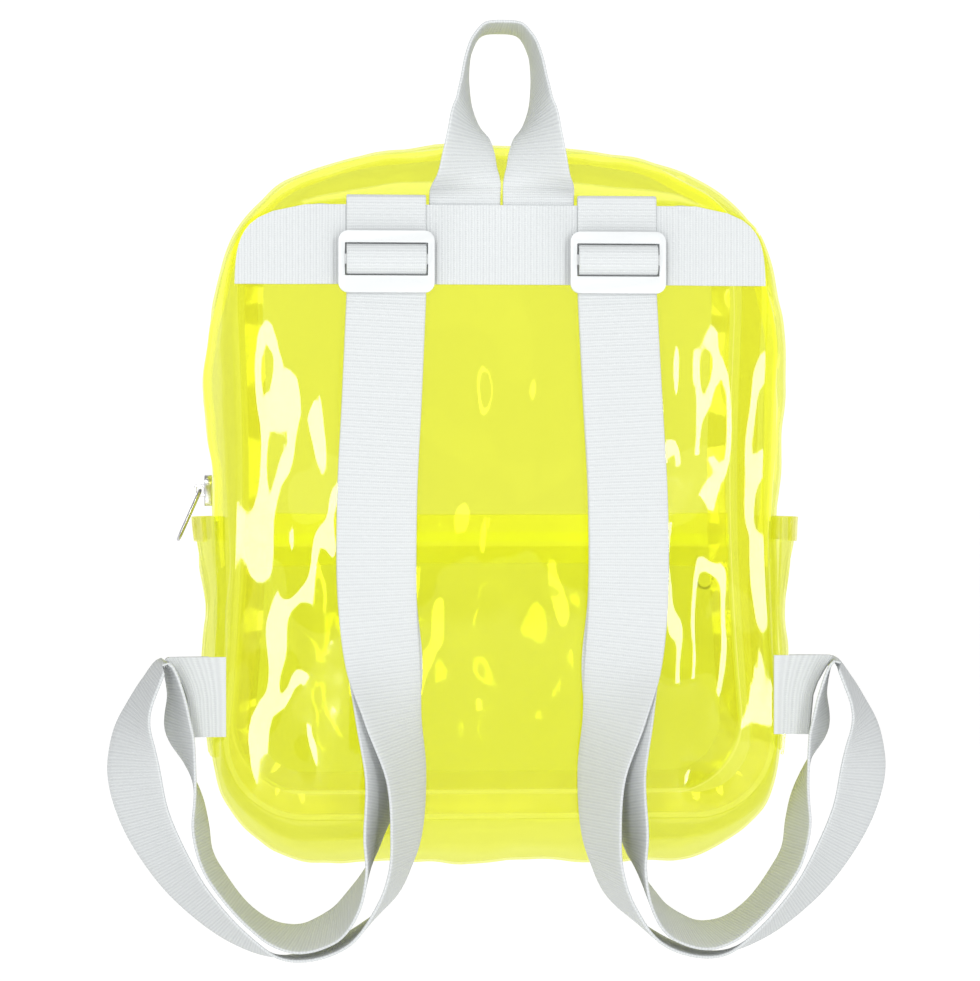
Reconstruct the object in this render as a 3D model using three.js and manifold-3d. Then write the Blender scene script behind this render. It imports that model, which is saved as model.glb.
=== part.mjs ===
// Clear stadium backpack: a small bag of tinted clear film with webbing straps.
// Millimetres, +Z up. The strap side faces -Y, the front pocket faces +Y, and the
// origin is the inner top of the haul loop, where the bag hangs.
// The helpers work in bag coordinates: x to the wearer's left and right, y from the
// back seam into the bag, z up from the base. The last group moves the bag down.

import * as THREE from 'three';
import Module from 'manifold-3d';

const wasm = await Module();
wasm.setup();

// Film body
const FILM = 1.0; // wall of the film
const GAP = 0.3; // clearance between pieces that touch
const DEPTH = 92; // back seam to front seam
const HALF_WIDTH = 120; // half the width over the gusset at the shoulders
const BASE_HALF_WIDTH = 116.5; // half the width over the gusset above the base corners
const HEIGHT = 297; // base to crown over the gusset
const SHOULDER_Z = 190; // where the sides turn into the crown
const BASE_RADIUS = 46; // base corners of the gusset
const GUSSET_WAIST = 2.5; // how far the sides pull in behind the side pockets
const GUSSET_HANDLE = 0.78; // fullness of the gusset's crown curve, 1 is squarest

// Seams: the outline of the back and front panels
const SEAM_HALF_WIDTH = 108.5;
const SEAM_BASE_HALF_WIDTH = 112;
const SEAM_WAIST = 3.5; // how far the seam pulls in between shoulder and base
const SEAM_BASE_Z = 21;
const SEAM_TOP_Z = 271;
const SEAM_SHOULDER_Z = 228;
const SEAM_RADIUS = 33;
const SEAM_HANDLE = 1.0;
const SEAM_ALLOWANCE = 8; // doubled film inside each seam
const ALLOWANCE_THICKNESS = 1.2;
const PANEL_CENTRE_Z = 146; // where the panels bulge most
const BACK_CROWN = 6;
const FRONT_CROWN = 9;

// Webbing
const WEBBING = 32; // width of the yoke, strap and tab webbing
const LOOP_WEBBING = 28.8; // width of the haul loop's webbing
const WEBBING_THICKNESS = 1.2;
const YOKE_TOP_Z = SEAM_TOP_Z - 2;
const YOKE_END_INSET = 1.0; // yoke ends inside the panel's seam
const LOOP_RISE = 71.7; // yoke top to the inner top of the haul loop
const LOOP_HALF_SPAN = 14.9; // half the distance between the loop's legs
const STRAP_CENTRE_X = 46.6; // each strap's distance from the middle at the top
const STRAP_DROP = 300; // height that the strap table's shares are taken of
const STRAP_SPREAD = HALF_WIDTH; // reach that the strap table's shares are taken of
const STRAP_FOLD_RISE = 3.5; // strap fold above the yoke

// Ladder-lock slider on each strap
const GLIDE_WIDTH = 38.5;
const GLIDE_THICKNESS = 2.8;
const GLIDE_TOP_BAR = 4.8;
const GLIDE_SLOT = 4.6;
const GLIDE_CENTRE_BAR = 4.0;
const GLIDE_BOTTOM_BAR = 6.8;
const GLIDE_DROP = 11; // yoke top to slider top
const GLIDE_CORNER = 4;

// Side tabs that the straps' lower turns bear on
const TAB_REACH = 16.5; // tab beyond the seam at its top edge
const TAB_SLANT = 3; // how much shorter the tab is at its bottom edge
const TAB_CENTRE_Z = 71;
const TAB_LOOP = 3.6; // opening of the tab's fold, front to back

// Side pockets
const SIDE_POCKET_TOP_Z = 143;
const SIDE_POCKET_BASE_Z = 46;
const SIDE_POCKET_STAND = 6.6; // hem stands this far off the gusset
const HEM_HEIGHT = 10;
const HEM_THICKNESS = 0.8;

// Front pocket
const POCKET_ZIP_Z = 132; // middle of the pocket's zip band
const POCKET_BULGE = 14; // pocket film in front of the front panel

// Zips
const TAPE_WIDTH = 24;
const TAPE_THICKNESS = 0.8;
const ZIP_SLOT = 12; // opening in the gusset over the main zip's coil
const COIL_WIDTH = 5;
const COIL_THICKNESS = 1.6;
const MAIN_ZIP_END_Z = 141; // lower ends of the main zip
const ZIP_SLIDER_LENGTH = 13;
const ZIP_SLIDER_WIDTH = 8.5;
const ZIP_SLIDER_THICKNESS = 3;
const EYE_HEIGHT = 4.6;
const EYE_WIDTH = 2.4;
const EYE_WALL = 1.0;
const PULL_WIRE = 1.5;
const EYE_HOLE = PULL_WIRE + 5 * GAP;
const PULL_LENGTH = 24;
const PULL_WIDTH = 7.5;
const POCKET_SLIDER_X = 96;
const MAIN_PULL_TILT = 24; // the main pull leans out over the side pocket's hem

// Mesh fineness
const BASE_STEPS = 4;
const CORNER_STEPS = 6;
const LOW_SIDE_STEPS = 5;
const HIGH_SIDE_STEPS = 3;
const CROWN_STEPS = 12;
const HALF_STEPS = BASE_STEPS + CORNER_STEPS + LOW_SIDE_STEPS + HIGH_SIDE_STEPS + CROWN_STEPS;
const RING_STEPS = 2 * HALF_STEPS;
const ZIP_START = BASE_STEPS + CORNER_STEPS + LOW_SIDE_STEPS;

const LOOP_INNER_Z = YOKE_TOP_Z + LOOP_RISE;

const lerp = THREE.MathUtils.lerp;
const smoothstep = THREE.MathUtils.smoothstep;
const radians = THREE.MathUtils.degToRad;
const vec = (x, y, z) => new THREE.Vector3(x, y, z);

// Materials
const film = new THREE.MeshStandardMaterial({
  color: 0xe8f53c, roughness: 0.08, metalness: 0, transparent: true, opacity: 0.45, side: THREE.DoubleSide,
});
const tape = new THREE.MeshStandardMaterial({ color: 0xeef23c, roughness: 0.7, metalness: 0 });
const webbing = new THREE.MeshStandardMaterial({ color: 0xf1f4f4, roughness: 0.75, metalness: 0 });
const acetal = new THREE.MeshStandardMaterial({ color: 0xf4f6f6, roughness: 0.35, metalness: 0 });
const metal = new THREE.MeshStandardMaterial({ color: 0xa9abae, roughness: 0.3, metalness: 1 });

// A closed geometry from a skin: vertices and triangles, plus a copy set in by the
// wall along the vertex normals, plus a rim along every open edge.
function wallGeometry(points, triangles, wall) {
  const normals = points.map(() => vec(0, 0, 0));
  for (const [a, b, c] of triangles) {
    const face = points[b].clone().sub(points[a]).cross(points[c].clone().sub(points[a]));
    for (const corner of [a, b, c]) normals[corner].add(face);
  }
  const inner = points.map((point, i) => point.clone().addScaledVector(normals[i].normalize(), -wall));
  const count = points.length;
  const index = [];
  const edges = new Set(triangles.flatMap(([a, b, c]) => [`${a}_${b}`, `${b}_${c}`, `${c}_${a}`]));
  for (const [a, b, c] of triangles) {
    index.push(a, b, c, count + c, count + b, count + a);
    for (const [from, to] of [[a, b], [b, c], [c, a]]) {
      if (!edges.has(`${to}_${from}`)) index.push(to, from, count + from, to, count + from, count + to);
    }
  }
  return indexedGeometry([...points, ...inner], index);
}

function indexedGeometry(points, index) {
  const geometry = new THREE.BufferGeometry();
  const numbers = points.flatMap((p) => [p.x, p.y, p.z]);
  geometry.setAttribute('position', new THREE.Float32BufferAttribute(numbers, 3));
  geometry.setIndex(index);
  geometry.computeVertexNormals();
  return geometry;
}

// A skin on a grid. pointAt(row, column) gives each point, and columns close on
// themselves when closed is true. Cells where keep(row, column) is false stay open,
// and points that coincide, as at a pole, are shared.
function gridWall(rows, columns, pointAt, wall, { closed = false, keep = () => true } = {}) {
  const points = [];
  const known = new Map();
  const indexOf = (row, column) => {
    const point = pointAt(row, closed ? column % columns : column);
    const key = point.toArray().map((value) => value.toFixed(4)).join();
    if (!known.has(key)) known.set(key, points.push(point) - 1);
    return known.get(key);
  };
  const triangles = [];
  for (let row = 0; row < rows; row += 1) {
    for (let column = 0; column < columns; column += 1) {
      if (!keep(row, column)) continue;
      const a = indexOf(row, column);
      const b = indexOf(row, column + 1);
      const c = indexOf(row + 1, column + 1);
      const d = indexOf(row + 1, column);
      if (a !== b && b !== c) triangles.push([a, b, c]);
      if (c !== d && d !== a) triangles.push([a, c, d]);
    }
  }
  const used = [...new Set(triangles.flat())];
  const renumbered = new Map(used.map((old, i) => [old, i]));
  return wallGeometry(used.map((i) => points[i]), triangles.map((t) => t.map((i) => renumbered.get(i))), wall);
}

// A flat band along stations {centre, across}: a rectangle of the given width and
// thickness, its width along across and its thickness square to the route.
function bandGeometry(stations, width, thickness) {
  const points = [];
  stations.forEach(({ centre, across }, i) => {
    const before = stations[Math.max(i - 1, 0)].centre;
    const after = stations[Math.min(i + 1, stations.length - 1)].centre;
    const along = after.clone().sub(before).normalize();
    const side = across.clone().addScaledVector(along, -across.dot(along)).normalize();
    const up = along.clone().cross(side);
    for (const [s, u] of [[-1, -1], [1, -1], [1, 1], [-1, 1]]) {
      points.push(centre.clone().addScaledVector(side, s * width / 2).addScaledVector(up, u * thickness / 2));
    }
  });
  return ringsGeometry(points, 4, stations.length, false);
}

// Rings of corner points joined in order, capped at both ends or closed on themselves.
function ringsGeometry(points, sides, rings, closed) {
  const index = [];
  const at = (ring, side) => (ring % rings) * sides + (side % sides);
  for (let ring = 0; ring < (closed ? rings : rings - 1); ring += 1) {
    for (let side = 0; side < sides; side += 1) {
      index.push(at(ring, side), at(ring, side + 1), at(ring + 1, side + 1));
      index.push(at(ring, side), at(ring + 1, side + 1), at(ring + 1, side));
    }
  }
  if (!closed) {
    for (let side = 1; side < sides - 1; side += 1) {
      index.push(at(0, 0), at(0, side + 1), at(0, side));
      index.push(at(rings - 1, 0), at(rings - 1, side), at(rings - 1, side + 1));
    }
  }
  return indexedGeometry(points, index);
}

// Half an outline from the bottom middle to the top middle: flat base, round corner,
// side in two stretches, and a crown curve. Every outline has the same steps, so the
// gusset joins them point by point.
function halfOutline({ baseZ, baseHalf, radius, zipZ, shoulderZ, shoulderHalf, topZ, handle, waist }) {
  const points = [];
  for (let i = 0; i < BASE_STEPS; i += 1) points.push([(baseHalf - radius) * i / BASE_STEPS, baseZ]);
  for (let i = 0; i < CORNER_STEPS; i += 1) {
    const angle = (Math.PI / 2) * i / CORNER_STEPS;
    points.push([baseHalf - radius + radius * Math.sin(angle), baseZ + radius * (1 - Math.cos(angle))]);
  }
  const sideAt = (z) => {
    const share = (z - baseZ - radius) / (shoulderZ - baseZ - radius);
    return [lerp(baseHalf, shoulderHalf, share) - waist * Math.sin(Math.PI * share), z];
  };
  for (let i = 0; i < LOW_SIDE_STEPS; i += 1) {
    points.push(sideAt(lerp(baseZ + radius, zipZ, i / LOW_SIDE_STEPS)));
  }
  for (let i = 0; i < HIGH_SIDE_STEPS; i += 1) {
    points.push(sideAt(lerp(zipZ, shoulderZ, i / HIGH_SIDE_STEPS)));
  }
  const rise = topZ - shoulderZ;
  const crown = new THREE.CubicBezierCurve(
    new THREE.Vector2(shoulderHalf, shoulderZ),
    new THREE.Vector2(shoulderHalf, shoulderZ + rise * handle),
    new THREE.Vector2(shoulderHalf * handle, topZ),
    new THREE.Vector2(0, topZ),
  );
  for (let i = 0; i <= CROWN_STEPS; i += 1) points.push(crown.getPoint(i / CROWN_STEPS).toArray());
  return points;
}

const SEAM_HALF = halfOutline({
  baseZ: SEAM_BASE_Z, baseHalf: SEAM_BASE_HALF_WIDTH, radius: SEAM_RADIUS, zipZ: MAIN_ZIP_END_Z,
  shoulderZ: SEAM_SHOULDER_Z, shoulderHalf: SEAM_HALF_WIDTH, topZ: SEAM_TOP_Z, handle: SEAM_HANDLE,
  waist: SEAM_WAIST,
});
const GUSSET_HALF = halfOutline({
  baseZ: 0, baseHalf: BASE_HALF_WIDTH, radius: BASE_RADIUS, zipZ: MAIN_ZIP_END_Z,
  shoulderZ: SHOULDER_Z, shoulderHalf: HALF_WIDTH, topZ: HEIGHT, handle: GUSSET_HANDLE, waist: GUSSET_WAIST,
});

// Point i of a whole outline, right half up and left half down, as [x, z].
function ringPoint(half, i) {
  const step = ((i % RING_STEPS) + RING_STEPS) % RING_STEPS;
  const [x, z] = half[step <= HALF_STEPS ? step : RING_STEPS - step];
  return step <= HALF_STEPS ? [x, z] : [-x, z];
}

// The same point moved inwards, square to the outline.
function insetPoint(half, i, inset) {
  const [x, z] = ringPoint(half, i);
  const [x0, z0] = ringPoint(half, i - 1);
  const [x1, z1] = ringPoint(half, i + 1);
  const length = Math.hypot(x1 - x0, z1 - z0);
  return [x - inset * (z1 - z0) / length, z + inset * (x1 - x0) / length];
}

// Half-width of the panels at a height.
function seamHalfWidth(z) {
  for (let i = 1; i < SEAM_HALF.length; i += 1) {
    const [x0, z0] = SEAM_HALF[i - 1];
    const [x1, z1] = SEAM_HALF[i];
    if (z >= z0 && z <= z1 && z1 > z0) return lerp(x0, x1, (z - z0) / (z1 - z0));
  }
  return z < SEAM_BASE_Z + SEAM_RADIUS ? SEAM_HALF[BASE_STEPS][0] : 0;
}

// Half-width over the gusset at a height on its sides.
function gussetHalfWidth(z) {
  const share = (z - BASE_RADIUS) / (SHOULDER_Z - BASE_RADIUS);
  return lerp(BASE_HALF_WIDTH, HALF_WIDTH, share) - GUSSET_WAIST * Math.sin(Math.PI * share);
}

// Share of the way from the panel's middle to its seam, 0 to 1, at a point.
function seamShare(x, z) {
  const angle = Math.atan2(Math.abs(x), PANEL_CENTRE_Z - z);
  for (let i = 1; i < SEAM_HALF.length; i += 1) {
    const [x0, z0] = SEAM_HALF[i - 1];
    const [x1, z1] = SEAM_HALF[i];
    const a0 = Math.atan2(x0, PANEL_CENTRE_Z - z0);
    const a1 = Math.atan2(x1, PANEL_CENTRE_Z - z1);
    if (angle > a1) continue;
    const t = (angle - a0) / (a1 - a0);
    const reach = Math.hypot(lerp(x0, x1, t), lerp(z0, z1, t) - PANEL_CENTRE_Z);
    return Math.min(Math.hypot(x, z - PANEL_CENTRE_Z) / reach, 1);
  }
  return 1;
}

// Height of a panel's bulge. The yoke holds the back panel flat behind it.
function backBulge(x, z) {
  const flat = 1 - smoothstep(z, YOKE_TOP_Z - 3.2 * WEBBING, YOKE_TOP_Z - 1.5 * WEBBING);
  return BACK_CROWN * flat * (1 - seamShare(x, z) ** 2) ** 2;
}

function frontBulge(x, z) {
  return FRONT_CROWN * (1 - seamShare(x, z) ** 2);
}

// Panels, gusset and the doubled film inside the seams
const PANEL_RINGS = [0, 0.32, 0.6, 0.84, 1];

function panelGeometry(side) {
  const pointAt = (row, column) => {
    const [rimX, rimZ] = ringPoint(SEAM_HALF, side * column);
    const x = rimX * PANEL_RINGS[row];
    const z = lerp(PANEL_CENTRE_Z, rimZ, PANEL_RINGS[row]);
    return vec(x, side > 0 ? DEPTH + frontBulge(x, z) : -backBulge(x, z), z);
  };
  return gridWall(PANEL_RINGS.length - 1, RING_STEPS, pointAt, FILM, { closed: true });
}

const GUSSET_START = FILM + GAP;
const GUSSET_DEPTH = DEPTH - 2 * GUSSET_START;
const SLOT_SHARE = ZIP_SLOT / GUSSET_DEPTH / 2;
const GUSSET_ROWS = [0, 0.12, 0.28, 0.5 - SLOT_SHARE, 0.5 + SLOT_SHARE, 0.72, 0.88, 1];
const SLOT_ROW = 3;

// How full the gusset stands at a share of its depth: 0 at the seams, 1 in the middle.
const fullness = (share) => Math.max(0, 1 - Math.abs(2 * share - 1) ** 3) ** 0.8;

function gussetPoint(i, share, off = 0) {
  const [seamX, seamZ] = insetPoint(SEAM_HALF, i, -off);
  const [outX, outZ] = insetPoint(GUSSET_HALF, i, -off);
  const full = fullness(share);
  return vec(lerp(seamX, outX, full), GUSSET_START + GUSSET_DEPTH * share, lerp(seamZ, outZ, full));
}

function gussetGeometry() {
  const inSlot = (row, column) => row === SLOT_ROW && column >= ZIP_START && column < RING_STEPS - ZIP_START;
  const pointAt = (row, column) => gussetPoint(column, GUSSET_ROWS[row]);
  const keep = (row, column) => !inSlot(row, column);
  return gridWall(GUSSET_ROWS.length - 1, RING_STEPS, pointAt, FILM, { closed: true, keep });
}

function allowanceGeometry(side) {
  const near = side > 0 ? DEPTH - FILM - GAP : FILM + GAP;
  const outer = FILM + 4 * GAP;
  const pointAt = (row, column) => {
    const [x, z] = insetPoint(SEAM_HALF, side * column, row === 0 ? outer + SEAM_ALLOWANCE : outer);
    return vec(x, near, z);
  };
  return gridWall(1, RING_STEPS, pointAt, ALLOWANCE_THICKNESS, { closed: true });
}

// Layers on the back panel, from the panel outwards: one webbing and one gap each
const LAYER = WEBBING_THICKNESS + GAP;
const layerMiddle = (layer) => GAP + WEBBING_THICKNESS / 2 + layer * LAYER;

// The yoke lies on the loop's legs and the strap ends, and comes down to the panel
// beyond them.
function yokeGeometry() {
  const columns = 24;
  const raisedTo = STRAP_CENTRE_X + WEBBING / 2 + 9;
  const pointAt = (row, column) => {
    const z = YOKE_TOP_Z - WEBBING + WEBBING * (1 - row / 3);
    const x = (seamHalfWidth(z) - YOKE_END_INSET) * (2 * column / columns - 1);
    const raised = 1 - smoothstep(Math.abs(x), raisedTo, raisedTo + 14);
    return vec(x, -(GAP + WEBBING_THICKNESS + raised * LAYER), z);
  };
  return gridWall(3, columns, (row, column) => pointAt(3 - row, column), WEBBING_THICKNESS);
}

// Haul loop: half of its route, from behind the yoke to the top. Columns: x as a
// share of the half span, z as a share of the rise, distance out from the panel as a
// share of the webbing's width, and the turn of the webbing from flat on the panel,
// 0, to edge-on to it, 90 degrees.
const LOOP_TABLE = [
  [1.0, -0.22, 0.031, 0],
  [1.0, -0.1, 0.031, 0],
  [1.0, -0.03, 0.033, 0],
  [1.0, 0.04, 0.052, 1],
  [0.995, 0.08, 0.12, 6],
  [0.98, 0.115, 0.22, 17],
  [0.95, 0.17, 0.31, 32],
  [0.92, 0.28, 0.38, 42],
  [0.92, 0.4, 0.38, 55],
  [0.96, 0.51, 0.3, 72],
  [0.98, 0.62, 0.22, 80],
  [0.93, 0.78, 0.12, 85],
  [0.78, 0.9, 0.05, 88],
  [0.48, 0.985, 0.01, 90],
  [0.0, 1.0, 0.0, 90],
];

function loopGeometry() {
  const topZ = LOOP_INNER_Z + WEBBING_THICKNESS / 2;
  const row = ([xShare, zShare, off, turn], side) => ({
    centre: vec(side * xShare * LOOP_HALF_SPAN, -off * LOOP_WEBBING, YOKE_TOP_Z + zShare * (topZ - YOKE_TOP_Z)),
    across: vec(Math.cos(radians(turn)), -side * Math.sin(radians(turn)), 0),
  });
  const left = LOOP_TABLE.map((entry) => row(entry, -1));
  const right = LOOP_TABLE.slice(0, -1).reverse().map((entry) => row(entry, 1));
  right.forEach((station) => station.across.negate());
  return bandGeometry(smoothStations([...left, ...right], 2), LOOP_WEBBING, WEBBING_THICKNESS);
}

// Stations refined by splines through their middles and their width directions.
function smoothStations(stations, steps) {
  const middles = new THREE.CatmullRomCurve3(stations.map((station) => station.centre), false, 'centripetal');
  const widths = new THREE.CatmullRomCurve3(stations.map((station) => station.across), false, 'centripetal');
  const total = (stations.length - 1) * steps;
  return Array.from({ length: total + 1 }, (_, i) => ({
    centre: middles.getPoint(i / total),
    across: widths.getPoint(i / total).normalize(),
  }));
}

// Each strap is one webbing: from behind the yoke, over its top edge, through the
// slider, down in front, round the side tab, back up behind and round the slider's
// middle bar. Columns of the table: reach from the middle as a share of the spread,
// height as a share of the drop, distance out from the panel as a share of the
// webbing's width, then the lean of the webbing's width in the panel's plane and its
// turn towards the wearer, in degrees.
const STRAP_TABLE = [
  [0.389, 0.768, 0.17, 0, 0],
  [0.404, 0.635, 0.19, 0, 0],
  [0.42, 0.501, 0.22, 0, 0],
  [0.419, 0.366, 0.26, 0, 10],
  [0.4, 0.282, 0.31, 2, 20],
  [0.368, 0.213, 0.46, 6, 42],
  [0.325, 0.138, 0.52, 0, 59],
  [0.323, 0.058, 0.54, 0, 66],
  [0.342, 0.013, 0.52, -7, 71],
  [0.389, -0.033, 0.42, -3, 75],
  [0.489, -0.078, 0.3, -32, 79],
  [0.63, -0.106, 0.19, 34, 87],
  [0.756, -0.109, 0.11, 122, 80],
  [0.889, -0.083, 0.06, 136, 70],
  [1.023, -0.035, 0.03, 145, 61],
  [1.117, 0.015, 0.0, 157, 53],
  [1.196, 0.076, 0.0, 167, 47],
  [1.23, 0.13, 0.0, -177, 44],
  [1.234, 0.174, 0.0, -176, 53],
  [1.218, 0.213, 0.03, 174, 66],
  [1.18, 0.25, 0.06, 186, 74],
  [1.128, 0.281, 0.06, 180, 78],
  [1.09, 0.24, 0.06, 175, 75],
  [1.08, 0.19, 0.03, 165, 67],
  [1.045, 0.143, 0.0, 150, 80],
  [1.02, 0.098, -0.03, 60, 84],
  [1.01, 0.061, -0.03, 0, 82],
  [0.992, 0.023, -0.01, -20, 84],
  [0.95, -0.008, 0.02, -45, 84],
  [0.856, -0.054, 0.05, -98, 83],
  [0.759, -0.079, 0.11, -122, 78],
  [0.665, -0.083, 0.19, -140, 75],
  [0.558, -0.064, 0.3, -150, 76],
  [0.484, -0.026, 0.44, -160, 83],
  [0.446, 0.013, 0.54, 0, 86],
  [0.43, 0.058, 0.55, 0, 74],
  [0.3875, 0.138, 0.47, 0, 55],
  [0.389, 0.213, 0.37, 0, 38],
  [0.394, 0.282, 0.22, 0, 18],
  [0.419, 0.366, 0.15, 0, 8],
  [0.42, 0.501, 0.12, 0, 0],
  [0.404, 0.635, 0.12, 0, 0],
  [0.389, 0.768, 0.12, 0, 0],
];

const GLIDE_HEIGHT = GLIDE_TOP_BAR + 2 * GLIDE_SLOT + GLIDE_CENTRE_BAR + GLIDE_BOTTOM_BAR;
const GLIDE_TOP_Z = YOKE_TOP_Z - GLIDE_DROP;
const GLIDE_BACK = layerMiddle(3) + WEBBING_THICKNESS / 2 + GAP;
const BAR_TOP_Z = GLIDE_TOP_Z - GLIDE_TOP_BAR - GLIDE_SLOT;
const BAR_BOTTOM_Z = BAR_TOP_Z - GLIDE_CENTRE_BAR;
const TOP_BAR_Z = GLIDE_TOP_Z - GLIDE_TOP_BAR;
const BOTTOM_BAR_Z = BAR_BOTTOM_Z - GLIDE_SLOT;

function strapGeometry(side) {
  const out = (x, q, z) => vec(side * x, -q, z);
  const flat = vec(side, 0, 0);
  const clear = GAP + WEBBING_THICKNESS / 2;
  const front = GLIDE_BACK + GLIDE_THICKNESS;
  const over = front + clear + LAYER;
  const slotOut = GLIDE_BACK + GLIDE_THICKNESS / 2;
  const profile = (rows) => rows.map(([z, q]) => ({ centre: out(STRAP_CENTRE_X, q, z), across: flat.clone() }));
  const start = profile([
    [YOKE_TOP_Z - WEBBING / 2, layerMiddle(0)],
    [YOKE_TOP_Z - WEBBING / 4, layerMiddle(0)],
    [YOKE_TOP_Z + STRAP_FOLD_RISE / 2, layerMiddle(0)],
    [YOKE_TOP_Z + STRAP_FOLD_RISE * 0.9, layerMiddle(0.35)],
    [YOKE_TOP_Z + STRAP_FOLD_RISE, layerMiddle(1)],
    [YOKE_TOP_Z + STRAP_FOLD_RISE * 0.9, layerMiddle(1.65)],
    [YOKE_TOP_Z + STRAP_FOLD_RISE / 2, layerMiddle(2)],
    [GLIDE_TOP_Z + clear, layerMiddle(2)],
    [TOP_BAR_Z + clear, layerMiddle(2.4)],
    [TOP_BAR_Z - clear, layerMiddle(3.4)],
    [TOP_BAR_Z - clear - 0.1, slotOut],
    [TOP_BAR_Z - clear - 0.6, front + clear],
    [BAR_TOP_Z + clear, over - GAP],
    [(BAR_TOP_Z + BAR_BOTTOM_Z) / 2, over],
    [BAR_BOTTOM_Z - clear, over - GAP],
    [BOTTOM_BAR_Z + clear + 0.8, front + clear],
    [BOTTOM_BAR_Z + clear + 0.1, slotOut],
    [BOTTOM_BAR_Z + clear, GLIDE_BACK + GAP],
    [BOTTOM_BAR_Z + clear * 0.7, layerMiddle(3.2)],
    [BOTTOM_BAR_Z - clear * 0.3, layerMiddle(3)],
    [BOTTOM_BAR_Z - GLIDE_BOTTOM_BAR, layerMiddle(3)],
  ]);
  const end = profile([
    [BOTTOM_BAR_Z - GLIDE_BOTTOM_BAR, layerMiddle(2)],
    [BOTTOM_BAR_Z, layerMiddle(2)],
    [BAR_BOTTOM_Z - clear, layerMiddle(2.4)],
    [BAR_BOTTOM_Z + clear, GLIDE_BACK - clear],
    [BAR_TOP_Z, GLIDE_BACK - clear],
    [BAR_TOP_Z + clear + 0.1, GLIDE_BACK + GAP],
    [BAR_TOP_Z + clear + 0.1, slotOut],
    [BAR_TOP_Z + clear + 0.1, front],
    [BAR_TOP_Z + clear * 0.75, front + clear * 0.75],
    [BAR_TOP_Z - GAP, front + clear],
    [BAR_BOTTOM_Z + GAP, front + clear],
    [BAR_BOTTOM_Z - clear * 0.75, front + clear * 0.75],
    [BAR_BOTTOM_Z - clear - 0.1, front],
    [BAR_BOTTOM_Z - clear - 0.1, slotOut],
  ]);
  const hanging = STRAP_TABLE.map(([reach, height, off, lean, turn]) => {
    const x = reach * STRAP_SPREAD;
    const z = height * STRAP_DROP;
    const spread = Math.cos(radians(turn));
    return {
      centre: out(x, backBulge(x, z) + off * WEBBING, z),
      across: out(spread * Math.cos(radians(lean)), Math.sin(radians(turn)), spread * Math.sin(radians(lean))),
    };
  });
  return bandGeometry([...start, ...smoothStations(hanging, 2), ...end], WEBBING, WEBBING_THICKNESS);
}

// A ladder-lock: a rounded frame with two slots either side of its middle bar.
function glideGeometry() {
  const shape = roundedRectangle(GLIDE_WIDTH, GLIDE_HEIGHT, GLIDE_CORNER);
  const slotWidth = WEBBING + 4 * GAP;
  for (const slotTop of [TOP_BAR_Z, BAR_BOTTOM_Z]) {
    const middle = slotTop - GLIDE_SLOT / 2 - (GLIDE_TOP_Z - GLIDE_HEIGHT / 2);
    const hole = roundedRectangle(slotWidth, GLIDE_SLOT, GAP).getPoints(1);
    shape.holes.push(new THREE.Path(hole.map((p) => new THREE.Vector2(p.x, p.y + middle))));
  }
  const geometry = new THREE.ExtrudeGeometry(shape, {
    depth: GLIDE_THICKNESS, bevelEnabled: false, curveSegments: 4,
  });
  geometry.rotateX(Math.PI / 2);
  return geometry;
}

function roundedRectangle(width, height, radius) {
  const shape = new THREE.Shape();
  const x = width / 2 - radius;
  const y = height / 2 - radius;
  shape.absarc(x, y, radius, 0, Math.PI / 2);
  shape.absarc(-x, y, radius, Math.PI / 2, Math.PI);
  shape.absarc(-x, -y, radius, Math.PI, 1.5 * Math.PI);
  shape.absarc(x, -y, radius, 1.5 * Math.PI, 2 * Math.PI);
  return shape;
}

// Tab: webbing sewn into the back seam, out to a slanted fold and back.
function tabGeometry(side) {
  const seamX = seamHalfWidth(TAB_CENTRE_Z) + GAP;
  const steps = 8;
  const points = [];
  const route = [
    [0, 0], [0.35, 0.15], [0.75, 0.6], [0.93, 0.85], [1, 1], [1, -1], [0.93, -1.6], [0.6, -1.8],
    [0.3, -1.85],
  ];
  for (let i = 0; i <= steps; i += 1) {
    const [reach, q] = route[i];
    for (const edge of [-1, 1]) {
      const length = TAB_REACH + (edge < 0 ? -TAB_SLANT : 0);
      points.push([seamX + reach * length, -q * TAB_LOOP / 2, TAB_CENTRE_Z + edge * WEBBING / 2]);
    }
  }
  const pointAt = (row, column) => {
    const [x, y, z] = points[2 * row + column];
    return vec(side * x, y - layerMiddle(0), z);
  };
  const oriented = (row, column) => pointAt(row, side > 0 ? column : 1 - column);
  return gridWall(steps, 1, oriented, WEBBING_THICKNESS);
}

// Side pocket: film over the gusset, sewn down at both seams and at its base, its
// hemmed top edge standing open. Stand-off of each height, as shares of the hem's.
const SIDE_POCKET_ROWS = [
  [0, 0],
  [0.18, 0.45],
  [0.42, 0.62],
  [0.62, 0.36],
  [0.82, 0.86],
  [1, 1],
];
const SIDE_POCKET_COLUMNS = [0.06, 0.14, 0.24, 0.38, 0.5, 0.62, 0.76, 0.86, 0.94];

function sidePoint(height, share, off, side) {
  const z = lerp(SIDE_POCKET_BASE_Z, SIDE_POCKET_TOP_Z, height);
  const seamX = seamHalfWidth(z);
  const gussetX = lerp(seamX, gussetHalfWidth(z), fullness(share));
  return vec(side * (gussetX + off), GUSSET_START + GUSSET_DEPTH * share, z);
}

const pocketStand = (height, share) => {
  const rows = SIDE_POCKET_ROWS;
  const next = Math.max(1, rows.findIndex(([h]) => h >= height - 1e-6));
  const [h0, s0] = rows[next - 1];
  const [h1, s1] = rows[next];
  const stand = lerp(s0, s1, (height - h0) / (h1 - h0));
  return GAP * 2 + SIDE_POCKET_STAND * stand * Math.sin(Math.PI * share) ** 0.6;
};

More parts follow.
